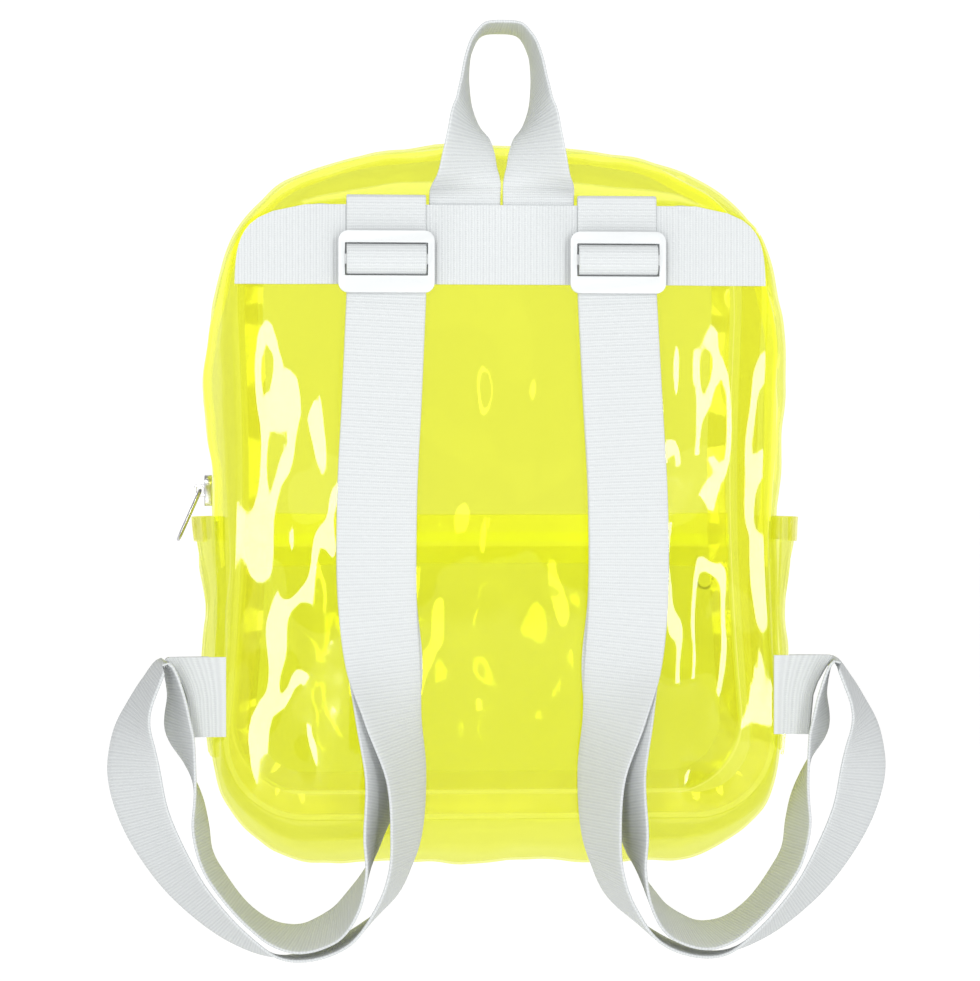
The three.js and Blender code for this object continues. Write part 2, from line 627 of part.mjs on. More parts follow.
function sidePocketGeometry(side) {
  const columns = SIDE_POCKET_COLUMNS.length - 1;
  const rows = SIDE_POCKET_ROWS.length - 1;
  const pointAt = (row, column) => {
    const share = SIDE_POCKET_COLUMNS[side > 0 ? column : columns - column];
    const height = SIDE_POCKET_ROWS[rows - row][0];
    return sidePoint(height, share, FILM + pocketStand(height, share), side);
  };
  return gridWall(rows, columns, pointAt, FILM);
}

// Hem: a folded strip over the pocket's top edge.
function hemGeometry(side) {
  const shares = SIDE_POCKET_COLUMNS.slice(1, -1);
  const columns = shares.length - 1;
  const hemShare = HEM_HEIGHT / (SIDE_POCKET_TOP_Z - SIDE_POCKET_BASE_Z);
  const pointAt = (row, column) => {
    const share = shares[side > 0 ? column : columns - column];
    const height = row === 0 ? 1 : 1 - hemShare;
    return sidePoint(height, share, FILM + pocketStand(height, share) + 2 * GAP + HEM_THICKNESS, side);
  };
  return gridWall(1, columns, pointAt, HEM_THICKNESS);
}

// Front pocket: film that bulges in front of the front panel, from the base seam to
// the zip band. Rows follow the seam's corner, so the pocket has the panel's outline.
const POCKET_ROWS = [0.0, 0.08, 0.2, 0.38, 0.6, 0.8, 0.92, 1];
const POCKET_COLUMNS = [-1, -0.95, -0.88, -0.78, -0.62, -0.4, 0, 0.4, 0.62, 0.78, 0.88, 0.95, 1];
const BAND_BASE_Z = POCKET_ZIP_Z - TAPE_WIDTH / 2;
const BAND_TOP_Z = POCKET_ZIP_Z + TAPE_WIDTH / 2;
const POCKET_TOP_Z = POCKET_ZIP_Z - COIL_WIDTH / 2 - GAP;

// How far the pocket's face stands off the flat front seam plane. Under the zip band
// it is a slope back to the panel.
function pocketFace(x, z) {
  const stand = (level) => {
    const share = Math.max(0, (level - SEAM_BASE_Z) / (BAND_BASE_Z - SEAM_BASE_Z));
    const across = 1 - Math.min(1, Math.abs(x) / seamHalfWidth(Math.max(level, SEAM_BASE_Z + FILM))) ** 3;
    return FILM + GAP + POCKET_BULGE * (1 - (1 - share) ** 3) * (1 - 0.2 * share) * across;
  };
  if (z <= BAND_BASE_Z) return frontBulge(x, z) + stand(z);
  const low = frontBulge(x, BAND_BASE_Z) + stand(BAND_BASE_Z);
  const high = frontBulge(x, BAND_TOP_Z) + FILM + GAP;
  return lerp(low, high, (z - BAND_BASE_Z) / TAPE_WIDTH);
}

function frontPocketGeometry() {
  const rows = POCKET_ROWS.length - 1;
  const pointAt = (row, column) => {
    const z = lerp(SEAM_BASE_Z + 2, POCKET_TOP_Z, POCKET_ROWS[row]);
    const x = (seamHalfWidth(z) - 2 * GAP) * POCKET_COLUMNS[POCKET_COLUMNS.length - 1 - column];
    return vec(x, DEPTH + pocketFace(x, z), z);
  };
  return gridWall(rows, POCKET_COLUMNS.length - 1, pointAt, FILM);
}

// Pocket zip: a band across the panel on the pocket's sloping top, with its coil
// along the middle.
function pocketZipStation(x, off) {
  const low = (at) => vec(at, DEPTH + pocketFace(at, BAND_BASE_Z), BAND_BASE_Z);
  const high = (at) => vec(at, DEPTH + pocketFace(at, BAND_TOP_Z), BAND_TOP_Z);
  const middle = (at) => low(at).lerp(high(at), 0.5);
  const across = high(x).sub(low(x)).normalize();
  const out = across.clone().cross(middle(x + FILM).sub(middle(x - FILM))).normalize();
  return { centre: middle(x).addScaledVector(out, off), across };
}

function pocketZipStations(off) {
  const reach = seamHalfWidth(POCKET_ZIP_Z) - 4 * GAP;
  return POCKET_COLUMNS.map((share) => pocketZipStation(reach * share, off));
}

// Main zip: its tape lies inside the gusset's slot and its coil lies in the slot.
function mainZipStations(off, extra) {
  const first = ZIP_START - extra;
  const last = RING_STEPS - first;
  const stations = Array.from({ length: last - first + 1 }, (_, i) => ({
    centre: gussetPoint(first + i, 0.5, off),
    across: vec(0, 1, 0),
  }));
  for (const [end, next] of [stations.slice(0, 2), stations.slice(-2).reverse()]) {
    end.centre.add(next.centre.clone().sub(end.centre).setLength(2 * GAP));
  }
  return stations;
}

// Zip slider: a waisted plate with an eye on its face. The plate lies in x and y,
// its length along y, and the eye's hole runs along x.
function sliderSolid(plateTurn) {
  const toManifold = (geometry) => {
    const source = geometry.index ? geometry.toNonIndexed() : geometry;
    const position = source.getAttribute('position');
    const known = new Map();
    const vertices = [];
    const triangles = [];
    for (let i = 0; i < position.count; i += 1) {
      const point = [position.getX(i), position.getY(i), position.getZ(i)];
      const key = point.map((value) => value.toFixed(4)).join();
      if (!known.has(key)) known.set(key, vertices.push(point) - 1);
      triangles.push(known.get(key));
    }
    return new wasm.Manifold(new wasm.Mesh({
      numProp: 3, vertProperties: new Float32Array(vertices.flat()), triVerts: new Uint32Array(triangles),
    }));
  };
  const plate = new THREE.Shape();
  const half = ZIP_SLIDER_LENGTH / 2;
  const wide = ZIP_SLIDER_WIDTH / 2;
  plate.moveTo(-wide * 0.55, -half);
  plate.lineTo(wide * 0.55, -half);
  plate.quadraticCurveTo(wide * 0.62, 0, wide, half * 0.45);
  plate.quadraticCurveTo(wide, half, 0, half);
  plate.quadraticCurveTo(-wide, half, -wide, half * 0.45);
  plate.quadraticCurveTo(-wide * 0.62, 0, -wide * 0.55, -half);
  const flat = { bevelEnabled: false, curveSegments: 4 };
  const body = new THREE.ExtrudeGeometry(plate, { ...flat, depth: ZIP_SLIDER_THICKNESS });
  body.rotateZ(plateTurn);
  const outline = roundedRectangle(EYE_HOLE + 2 * EYE_WALL, 2 * EYE_HEIGHT, 1.4);
  const hole = roundedRectangle(EYE_HOLE, EYE_HOLE, 0.6).getPoints(2);
  const holeMiddle = EYE_HEIGHT - EYE_WALL - EYE_HOLE / 2;
  outline.holes.push(new THREE.Path(hole.map((p) => new THREE.Vector2(p.x, p.y + holeMiddle))));
  const eye = new THREE.ExtrudeGeometry(outline, { ...flat, depth: EYE_WIDTH });
  eye.translate(0, 0, -EYE_WIDTH / 2);
  eye.rotateX(Math.PI / 2);
  eye.rotateZ(Math.PI / 2);
  eye.translate(0, 0, ZIP_SLIDER_THICKNESS - GAP);
  const lower = new THREE.BoxGeometry(ZIP_SLIDER_LENGTH, ZIP_SLIDER_LENGTH, 2 * EYE_HEIGHT);
  lower.translate(0, 0, ZIP_SLIDER_THICKNESS - 2 * GAP - EYE_HEIGHT);
  return toManifold(eye).subtract(toManifold(lower)).add(toManifold(body)).getMesh();
}
const EYE_HOLE_HEIGHT = ZIP_SLIDER_THICKNESS - GAP + EYE_HEIGHT - EYE_WALL - EYE_HOLE / 2;

function sliderGeometry(plateTurn) {
  const sliderMesh = sliderSolid(plateTurn);
  const geometry = new THREE.BufferGeometry();
  const position = new THREE.BufferAttribute(new Float32Array(sliderMesh.vertProperties), 3);
  geometry.setAttribute('position', position);
  geometry.setIndex([...sliderMesh.triVerts]);
  return geometry;
}

// Pull: a long wire ring. It lies in x and y with its top bar along x at y = 0 and
// hangs towards -y.
function pullGeometry() {
  const sides = 6;
  const steps = 24;
  const radius = PULL_WIDTH / 2;
  const straight = PULL_LENGTH - 2 * radius - PULL_WIRE;
  const route = Array.from({ length: steps }, (_, i) => {
    const half = steps / 2;
    const end = i < half ? 0 : 1;
    const angle = Math.PI * ((i % half) / (half - 1)) + Math.PI * end;
    return [radius * Math.cos(angle), radius * Math.sin(angle) - radius - (end ? straight : 0)];
  });
  const points = route.flatMap(([x, y], i) => {
    const [x0, y0] = route[(i + steps - 1) % steps];
    const [x1, y1] = route[(i + 1) % steps];
    const length = Math.hypot(x1 - x0, y1 - y0);
    const outX = (y1 - y0) / length;
    const outY = -(x1 - x0) / length;
    return Array.from({ length: sides }, (_, k) => {
      const angle = 2 * Math.PI * k / sides;
      const out = Math.cos(angle) * PULL_WIRE / 2;
      return vec(x + outX * out, y + outY * out, -Math.sin(angle) * PULL_WIRE / 2);
    });
  });
  return ringsGeometry(points, sides, steps, true);
}

const bag = new THREE.Group();
bag.position.z = -LOOP_INNER_Z;

function add(name, geometry, material, parent = bag) {
  const mesh = new THREE.Mesh(geometry, material);
  mesh.name = name;
  parent.add(mesh);
  return mesh;
}

add('back_panel', panelGeometry(-1), film);
add('front_panel', panelGeometry(1), film);
add('gusset', gussetGeometry(), film);
add('back_seam_allowance', allowanceGeometry(-1), film);
add('front_seam_allowance', allowanceGeometry(1), film);
add('front_pocket', frontPocketGeometry(), film);
add('yoke_band', yokeGeometry(), webbing);
add('haul_loop', loopGeometry(), webbing);
for (const [word, side] of [['left', -1], ['right', 1]]) {
  add(`side_pocket_${word}`, sidePocketGeometry(side), film);
  add(`side_pocket_hem_${word}`, hemGeometry(side), film);
  add(`strap_${word}`, strapGeometry(side), webbing);
  add(`strap_tab_${word}`, tabGeometry(side), webbing);
  const glide = add(`strap_slider_${word}`, glideGeometry(), acetal);
  glide.position.set(side * STRAP_CENTRE_X, -GLIDE_BACK, GLIDE_TOP_Z - GLIDE_HEIGHT / 2);
}

// Zips, their sliders and their pulls
const tapeOff = -(FILM + 2 * GAP + TAPE_THICKNESS / 2);
const coilOff = -FILM - GAP + GAP + COIL_THICKNESS / 2;
add('main_zip_tape', bandGeometry(mainZipStations(tapeOff, 1), TAPE_WIDTH, TAPE_THICKNESS), tape);
add('main_zip_coil', bandGeometry(mainZipStations(coilOff, 0), COIL_WIDTH, COIL_THICKNESS), tape);
const pocketTapeOff = 2 * GAP + TAPE_THICKNESS / 2;
const pocketCoilOff = pocketTapeOff + TAPE_THICKNESS / 2 + 3 * GAP + COIL_THICKNESS / 2;
add('pocket_zip_tape', bandGeometry(pocketZipStations(pocketTapeOff), TAPE_WIDTH, TAPE_THICKNESS), tape);
add('pocket_zip_coil', bandGeometry(pocketZipStations(pocketCoilOff), COIL_WIDTH, COIL_THICKNESS), tape);

// A slider and its pull, turned so that the slider's face looks out along a direction.
function addZipPull(name, place, plateTurn, tilt) {
  const group = new THREE.Group();
  group.position.copy(place.position);
  group.rotation.copy(place.rotation);
  bag.add(group);
  add(`${name}_zip_slider`, sliderGeometry(plateTurn), metal, group);
  const pull = add(`${name}_zip_pull`, pullGeometry(), metal, group);
  pull.position.set(0, 0, EYE_HOLE_HEIGHT);
  pull.rotation.x = -radians(tilt);
}

const sliderZ = MAIN_ZIP_END_Z + ZIP_SLIDER_LENGTH;
const mainX = gussetHalfWidth(sliderZ);
addZipPull('main', {
  position: vec(-(mainX - FILM + COIL_THICKNESS + 2 * GAP), GUSSET_START + GUSSET_DEPTH / 2, sliderZ),
  rotation: new THREE.Euler(Math.PI / 2, 0, -Math.PI / 2, 'ZXY'),
}, 0, MAIN_PULL_TILT);
const pocketStation = pocketZipStation(POCKET_SLIDER_X, pocketCoilOff + COIL_THICKNESS / 2 + 7 * GAP);
addZipPull('pocket', {
  position: pocketStation.centre,
  rotation: new THREE.Euler(Math.PI / 2, 0, Math.PI, 'ZXY'),
}, Math.PI / 2, 0);

export default bag;
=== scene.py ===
"""Looks of a small clear stadium backpack that hangs from its haul loop.

Lengths in the helpers are millimetres in bag coordinates: x across, y from the back
seam into the bag, z up from the base. finished() moves them into the row's frame,
whose origin is the inner top of the haul loop.
"""

import math

import bmesh
import bpy
import numpy as np
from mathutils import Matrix, Vector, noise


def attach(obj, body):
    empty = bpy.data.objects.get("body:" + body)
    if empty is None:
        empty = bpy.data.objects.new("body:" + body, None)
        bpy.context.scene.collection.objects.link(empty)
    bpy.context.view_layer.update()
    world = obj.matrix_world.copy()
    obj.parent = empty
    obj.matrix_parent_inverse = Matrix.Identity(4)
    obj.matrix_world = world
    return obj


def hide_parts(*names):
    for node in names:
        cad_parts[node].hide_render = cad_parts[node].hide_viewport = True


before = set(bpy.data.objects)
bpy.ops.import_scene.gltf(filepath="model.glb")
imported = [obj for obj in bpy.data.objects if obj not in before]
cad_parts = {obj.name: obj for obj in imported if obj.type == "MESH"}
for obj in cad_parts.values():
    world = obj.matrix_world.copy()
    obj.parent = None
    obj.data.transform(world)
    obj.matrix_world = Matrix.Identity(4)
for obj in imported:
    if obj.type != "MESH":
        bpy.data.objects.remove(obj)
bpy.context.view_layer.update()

# Named sizes, the same as the solids'
FILM, GAP, DEPTH = 1.0, 0.3, 92.0
HALF_WIDTH, BASE_HALF_WIDTH, HEIGHT = 120.0, 116.5, 297.0
SHOULDER_Z, BASE_RADIUS, GUSSET_WAIST, GUSSET_HANDLE = 190.0, 46.0, 2.5, 0.78
SEAM_HALF_WIDTH, SEAM_BASE_HALF_WIDTH, SEAM_WAIST = 108.5, 112.0, 3.5
SEAM_BASE_Z, SEAM_TOP_Z, SEAM_SHOULDER_Z = 21.0, 271.0, 228.0
SEAM_RADIUS, SEAM_HANDLE, SEAM_ALLOWANCE, ALLOWANCE = 33.0, 1.0, 8.0, 1.2
PANEL_CENTRE_Z, BACK_CROWN, FRONT_CROWN = 146.0, 6.0, 9.0
WEBBING, LOOP_WEBBING, WEB = 32.0, 28.8, 1.2
YOKE_TOP_Z = SEAM_TOP_Z - 2
YOKE_END_INSET, LOOP_RISE, LOOP_HALF_SPAN = 1.0, 71.7, 14.9
STRAP_CENTRE_X, STRAP_DROP, STRAP_SPREAD, STRAP_FOLD_RISE = 46.6, 300.0, HALF_WIDTH, 3.5
GLIDE_THICKNESS, GLIDE_TOP_BAR, GLIDE_SLOT = 2.8, 4.8, 4.6
GLIDE_CENTRE_BAR, GLIDE_BOTTOM_BAR, GLIDE_DROP = 4.0, 6.8, 11.0
TAB_REACH, TAB_SLANT, TAB_CENTRE_Z, TAB_LOOP = 16.5, 3.0, 71.0, 3.6
TAB_LEAN = 7.0  # the tab's upper corner drawn out to the strap's turn
SIDE_POCKET_TOP_Z, SIDE_POCKET_BASE_Z, SIDE_POCKET_STAND = 143.0, 46.0, 6.6
HEM_HEIGHT, HEM = 10.0, 0.8
POCKET_ZIP_Z, POCKET_BULGE = 132.0, 14.0
TAPE_WIDTH, TAPE, ZIP_SLOT, COIL_WIDTH, COIL = 24.0, 0.8, 12.0, 5.0, 1.6
TOOTH_STEP, STEPS_A_TOOTH = 0.4, 4
MAIN_ZIP_END_Z = 141.0
LOOP_INNER_Z = YOKE_TOP_Z + LOOP_RISE
LAYER = WEB + GAP
GLIDE_BEVEL, SLIDER_BEVEL, PULL_BEVEL = 0.0006, 0.0003, 0.0002  # metres
GUSSET_START = FILM + GAP
GUSSET_DEPTH = DEPTH - 2 * GUSSET_START
SLOT_SHARE = ZIP_SLOT / GUSSET_DEPTH / 2

# Steps of the outlines, each split FINE times
FINE = 6
BASE_STEPS, CORNER_STEPS, LOW_STEPS, HIGH_STEPS, CROWN_STEPS = 4, 6, 5, 3, 12
HALF = (BASE_STEPS + CORNER_STEPS + LOW_STEPS + HIGH_STEPS + CROWN_STEPS) * FINE
RING = 2 * HALF
ZIP_START = (BASE_STEPS + CORNER_STEPS + LOW_STEPS) * FINE


def lerp(a, b, t):
    return a + (b - a) * t


def smoothstep(value, low, high):
    t = np.clip((value - low) / (high - low), 0, 1)
    return t * t * (3 - 2 * t)


def layer_middle(layer):
    return GAP + WEB / 2 + layer * LAYER


# Outlines

def half_outline(base_z, base_half, radius, shoulder_z, shoulder_half, top_z, handle, waist):
    """Half an outline as rows of x and z: straight base, quarter circle, side that is a
    straight line less a sine waist, and a cubic curve over the crown."""
    steps = np.arange(BASE_STEPS * FINE) / (BASE_STEPS * FINE)
    base = np.column_stack([(base_half - radius) * steps, np.full(steps.shape, base_z)])
    angle = np.pi / 2 * np.arange(CORNER_STEPS * FINE) / (CORNER_STEPS * FINE)
    corner = np.column_stack([base_half - radius + radius * np.sin(angle),
                              base_z + radius * (1 - np.cos(angle))])
    low = lerp(base_z + radius, MAIN_ZIP_END_Z, np.arange(LOW_STEPS * FINE) / (LOW_STEPS * FINE))
    high = lerp(MAIN_ZIP_END_Z, shoulder_z, np.arange(HIGH_STEPS * FINE) / (HIGH_STEPS * FINE))
    z = np.concatenate([low, high])
    share = (z - base_z - radius) / (shoulder_z - base_z - radius)
    side = np.column_stack([lerp(base_half, shoulder_half, share) - waist * np.sin(np.pi * share), z])
    t = (np.arange(CROWN_STEPS * FINE + 1) / (CROWN_STEPS * FINE))[:, None]
    rise = top_z - shoulder_z
    p = [np.array(v) for v in ((shoulder_half, shoulder_z), (shoulder_half, shoulder_z + rise * handle),
                               (shoulder_half * handle, top_z), (0.0, top_z))]
    crown = (1 - t) ** 3 * p[0] + 3 * (1 - t) ** 2 * t * p[1] + 3 * (1 - t) * t * t * p[2] + t ** 3 * p[3]
    return np.concatenate([base, corner, side, crown])


SEAM_HALF = half_outline(SEAM_BASE_Z, SEAM_BASE_HALF_WIDTH, SEAM_RADIUS, SEAM_SHOULDER_Z, SEAM_HALF_WIDTH,
                         SEAM_TOP_Z, SEAM_HANDLE, SEAM_WAIST)
GUSSET_HALF = half_outline(0.0, BASE_HALF_WIDTH, BASE_RADIUS, SHOULDER_Z, HALF_WIDTH, HEIGHT,
                           GUSSET_HANDLE, GUSSET_WAIST)


def ring(half):
    """A whole outline: the half up the right side, then its mirror down the left."""
    left = half[1:-1][::-1] * [-1, 1]
    return np.concatenate([half, left])


def inset(points, distance):
    """The outline moved inwards, square to itself, by a distance."""
    step = np.roll(points, -1, axis=0) - np.roll(points, 1, axis=0)
    step /= np.linalg.norm(step, axis=1)[:, None]
    return points + distance * np.column_stack([-step[:, 1], step[:, 0]])


SEAM_RING, GUSSET_RING = ring(SEAM_HALF), ring(GUSSET_HALF)
SIDE_PART = SEAM_HALF[BASE_STEPS * FINE:]
SEAM_ANGLE = np.arctan2(SEAM_HALF[:, 0], PANEL_CENTRE_Z - SEAM_HALF[:, 1])
SEAM_REACH = np.hypot(SEAM_HALF[:, 0], SEAM_HALF[:, 1] - PANEL_CENTRE_Z)


def seam_half_width(z):
    return np.interp(z, SIDE_PART[:, 1], SIDE_PART[:, 0])


def gusset_half_width(z):
    share = (z - BASE_RADIUS) / (SHOULDER_Z - BASE_RADIUS)
    return lerp(BASE_HALF_WIDTH, HALF_WIDTH, share) - GUSSET_WAIST * np.sin(np.pi * share)


def seam_share(x, z):
    angle = np.arctan2(np.abs(x), PANEL_CENTRE_Z - z)
    return np.minimum(np.hypot(x, z - PANEL_CENTRE_Z) / np.interp(angle, SEAM_ANGLE, SEAM_REACH), 1)


def back_bulge(x, z):
    flat = 1 - smoothstep(z, YOKE_TOP_Z - 3.2 * WEBBING, YOKE_TOP_Z - 1.5 * WEBBING)
    return BACK_CROWN * flat * (1 - seam_share(x, z) ** 2) ** 2


def front_bulge(x, z):
    return FRONT_CROWN * (1 - seam_share(x, z) ** 2)


def fullness(share):
    return np.maximum(0, 1 - np.abs(2 * share - 1) ** 3) ** 0.8


def buckle(points, sizes, seed):
    """Heights of soft creases at points: a sum of smooth noises, one for each row
    (scale across, scale up, height) of sizes, in millimetres."""
    out = np.zeros(len(points))
    for across, up, height in sizes:
        scaled = points / [across, across, up] + seed
        out += height * 2 * np.array([noise.noise(Vector(p)) for p in scaled])
    return out


# Meshes

def grid_faces(rows, columns, closed=False, keep=None):
    """Quads of a grid of vertex rows and columns, as rows of four indices."""
    r, c = np.meshgrid(np.arange(rows - 1), np.arange(columns if closed else columns - 1), indexing="ij")
    r, c = r.ravel(), c.ravel()
    if keep is not None:
        kept = keep(r, c)
        r, c = r[kept], c[kept]
    after = (c + 1) % columns
    low, high = r * columns, (r + 1) * columns
    return np.column_stack([low + c, low + after, high + after, high + c])


def vertex_normals(points, faces):
    across = np.cross(points[faces[:, 2]] - points[faces[:, 0]], points[faces[:, 3]] - points[faces[:, 1]])
    normals = np.zeros_like(points)
    for corner in range(4):
        np.add.at(normals, faces[:, corner], across)
    return normals / np.maximum(np.linalg.norm(normals, axis=1), 1e-9)[:, None]


def thickened(points, faces, wall):
    """A closed body from a skin: the skin, a copy set in along its normals by the wall,
    and a rim along each open edge."""
    used, inverse = np.unique(faces, return_inverse=True)
    points, faces = points[used], inverse.reshape(faces.shape)
    inner = points - vertex_normals(points, faces) * wall
    count = len(points)
    pairs = np.concatenate([faces[:, [k, (k + 1) % 4]] for k in range(4)])
    pairs = pairs[pairs[:, 0] != pairs[:, 1]]
    codes = pairs[:, 0] * count + pairs[:, 1]
    open_edges = pairs[~np.isin(codes, pairs[:, 1] * count + pairs[:, 0])]
    a, b = open_edges[:, 0], open_edges[:, 1]
    rim = np.column_stack([b, a, count + a, count + b])
    return np.concatenate([points, inner]), np.concatenate([faces, count + faces[:, ::-1], rim]), used


def finished(name, points, faces, material, node, uv=None, sharp=40):
    """A mesh object from millimetre points in bag coordinates that rides the bag and
    stands for a node. uv is in metres, one row for each point."""
    rows = (points - [0, 0, LOOP_INNER_Z]) * 0.001
    loops = []
    for face in faces.tolist():
        corners = [v for k, v in enumerate(face) if v != face[k - 1]]
        if len(corners) > 2:
            loops.append(corners)
    mesh = bpy.data.meshes.new(name)
    mesh.from_pydata(rows.tolist(), [], loops)
    mesh.polygons.foreach_set("use_smooth", np.ones(len(mesh.polygons), dtype=bool))
    if uv is not None:
        corner = np.empty(len(mesh.loops), dtype=np.int32)
        mesh.loops.foreach_get("vertex_index", corner)
        layer = mesh.uv_layers.new(name="weave")
        layer.data.foreach_set("uv", uv[corner].astype(np.float32).ravel())
    mesh.set_sharp_from_angle(angle=math.radians(sharp))
    mesh.update()
    mesh.materials.append(material)
    made = bpy.data.objects.new(name, mesh)
    bpy.context.scene.collection.objects.link(made)
    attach(made, "bag")
    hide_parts(node)
    return made


def wall_piece(name, grid, wall, material, node, closed=False, keep=None, pole=False):
    rows, columns = grid.shape[:2]
    faces = grid_faces(rows, columns, closed, keep)
    if pole:
        faces = np.where(faces < columns, 0, faces)
    points, faces, _ = thickened(grid.reshape(-1, 3), faces, wall)
    return finished(name, points, faces, material, node)


def section(width, thickness):
    """Cross-section of a flat band with round edges, as rows (across, up)."""
    w, t = width / 2, thickness / 2
    angle = np.linspace(0, np.pi, 7)
    edge = np.column_stack([w - t + t * np.sin(angle), -t * np.cos(angle)])
    across = np.linspace(w - t, -(w - t), 9)[1:-1]
    top = np.column_stack([across, np.full(7, t)])
    return np.concatenate([edge, top, -edge, -top])


def band(stations, profile):
    """A section swept along stations. Each row of stations holds a centre and the
    direction of the width; the thickness lies square to both width and route."""
    centre, across = stations[:, :3], stations[:, 3:]
    along = np.gradient(centre, axis=0)
    along /= np.linalg.norm(along, axis=1)[:, None]
    side = across - along * np.sum(across * along, axis=1)[:, None]
    side /= np.linalg.norm(side, axis=1)[:, None]
    up = np.cross(along, side)
    length = np.concatenate([[0], np.cumsum(np.linalg.norm(np.diff(centre, axis=0), axis=1))])
    if np.ndim(profile) == 2:
        profile = np.broadcast_to(profile, (len(centre),) + profile.shape)
    grid = (centre[:, None] + side[:, None] * profile[:, :, :1] + up[:, None] * profile[:, :, 1:])
    uv = np.stack([np.broadcast_to(length[:, None], profile.shape[:2]), profile[:, :, 0]], axis=-1) * 0.001
    rows, columns = grid.shape[:2]
    faces = grid_faces(rows, columns, True)
    half = columns // 2
    caps = []
    for start, turn in ((0, 1), ((rows - 1) * columns, -1)):
        for k in range(half - 1):
            quad = [start + k, start + (columns - 1 - k) % columns, start + (columns - 2 - k), start + k + 1]
            caps.append(quad[::turn])
    return grid.reshape(-1, 3), np.concatenate([faces, np.array(caps)]), uv.reshape(-1, 2)


def band_piece(name, stations, profile, material, node):
    points, faces, uv = band(stations, profile)
    return finished(name, points, faces, material, node, uv, sharp=60)


def spline(points, steps):
    """Centripetal Catmull-Rom curve through points, with steps to each stretch."""
    p = np.concatenate([[2 * points[0] - points[1]], points, [2 * points[-1] - points[-2]]])
    gaps = np.maximum(np.linalg.norm(np.diff(p[:, :3], axis=0), axis=1), 1e-6) ** 0.5
    out = []
    for i in range(1, len(p) - 2):
        d0, d1, d2 = gaps[i - 1], gaps[i], gaps[i + 1]
        a, b, c, d = p[i - 1], p[i], p[i + 1], p[i + 2]
        m1 = ((b - a) / d0 - (c - a) / (d0 + d1) + (c - b) / d1) * d1
        m2 = ((c - b) / d1 - (d - b) / (d1 + d2) + (d - c) / d2) * d1
        for t in np.arange(steps) / steps:
            out.append((2 * t ** 3 - 3 * t * t + 1) * b + (t ** 3 - 2 * t * t + t) * m1
                       + (3 * t * t - 2 * t ** 3) * c + (t ** 3 - t * t) * m2)
    return np.array(out + [p[-2]])


def rounded(stations, times=2):
    """Corners of a route cut off, a quarter of each stretch at a time."""
    for _ in range(times):
        a, b = stations[:-1], stations[1:]
        inner = np.empty((2 * len(a), stations.shape[1]))
        inner[0::2], inner[1::2] = lerp(a, b, 0.25), lerp(a, b, 0.75)
        stations = np.concatenate([stations[:1], inner[1:-1], stations[-1:]])
    return stations


def cad_copy(name, node, material, body, bevel):
    """A copy of a hard piece with its edges rounded."""
    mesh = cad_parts[node].data.copy()
    mesh.name = name
    work = bmesh.new()
    work.from_mesh(mesh)
    bmesh.ops.remove_doubles(work, verts=work.verts, dist=1e-6)
    bmesh.ops.dissolve_limit(work, angle_limit=math.radians(1), verts=work.verts, edges=work.edges)
    work.to_mesh(mesh)
    work.free()
    mesh.materials.clear()
    mesh.materials.append(material)
    mesh.polygons.foreach_set("use_smooth", np.ones(len(mesh.polygons), dtype=bool))
    made = bpy.data.objects.new(name, mesh)
    bpy.context.scene.collection.objects.link(made)
    edge = made.modifiers.new("edges", "BEVEL")
    edge.width = bevel
    edge.segments = 3
    edge.limit_method = "ANGLE"
    edge.angle_limit = math.radians(35)
    edge.harden_normals = True
    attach(made, body)
    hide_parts(node)
    return made


# Materials

class Value:
    """A number in a shader: wraps a socket, so that sums can be written as such."""

    def __init__(self, tree, socket):
        self.tree, self.socket = tree, socket

    def _math(self, operation, *others):
        made = self.tree.nodes.new("ShaderNodeMath")
        made.operation = operation
        for slot, value in zip(made.inputs, others):
            if isinstance(value, Value):
                self.tree.links.new(value.socket, slot)
            else:
                slot.default_value = value
        return Value(self.tree, made.outputs[0])

    def __add__(self, other):
        return self._math("ADD", self, other)

    def __radd__(self, other):
        return self._math("ADD", other, self)

    def __sub__(self, other):
        return self._math("SUBTRACT", self, other)

    def __rsub__(self, other):
        return self._math("SUBTRACT", other, self)

    def __mul__(self, other):
        return self._math("MULTIPLY", self, other)

    def __rmul__(self, other):
        return self._math("MULTIPLY", other, self)

    def sin(self):
        return self._math("SINE", self)

    def at_most(self, limit):
        return self._math("MINIMUM", self, limit)

    def clamp(self):
        return self._math("MINIMUM", self._math("MAXIMUM", self, 0.0), 1.0)


class Shader:
    """A material being built."""

    def __init__(self, name):
        self.material = bpy.data.materials.new(name)
        self.material.cycles.emission_sampling = "NONE"  # a glowing mesh is hit, not aimed at: faster
        self.material.use_nodes = True
        self.tree = self.material.node_tree
        self.tree.nodes.clear()

    def node(self, kind, settings=None, **inputs):
        made = self.tree.nodes.new(kind)
        for key, value in (settings or {}).items():
            setattr(made, key, value)
        for key, value in inputs.items():
            numbered = key[0] == "i" and key[1:].isdigit()
            slot = made.inputs[int(key[1:]) if numbered else key.replace("_", " ")]
            if isinstance(value, Value):
                self.tree.links.new(value.socket, slot)
            elif hasattr(value, "is_output"):
                self.tree.links.new(value, slot)
            else:
                slot.default_value = value
        return made

    def value(self, socket):
        return Value(self.tree, socket)

    def ends(self, socket):
        end = self.tree.nodes.new("ShaderNodeOutputMaterial")
        self.tree.links.new(socket, end.inputs["Surface"])
        return self.material


FILM_ROUGHNESS, FILM_IOR, MOST_GLOSS = 0.035, 1.44, 0.11


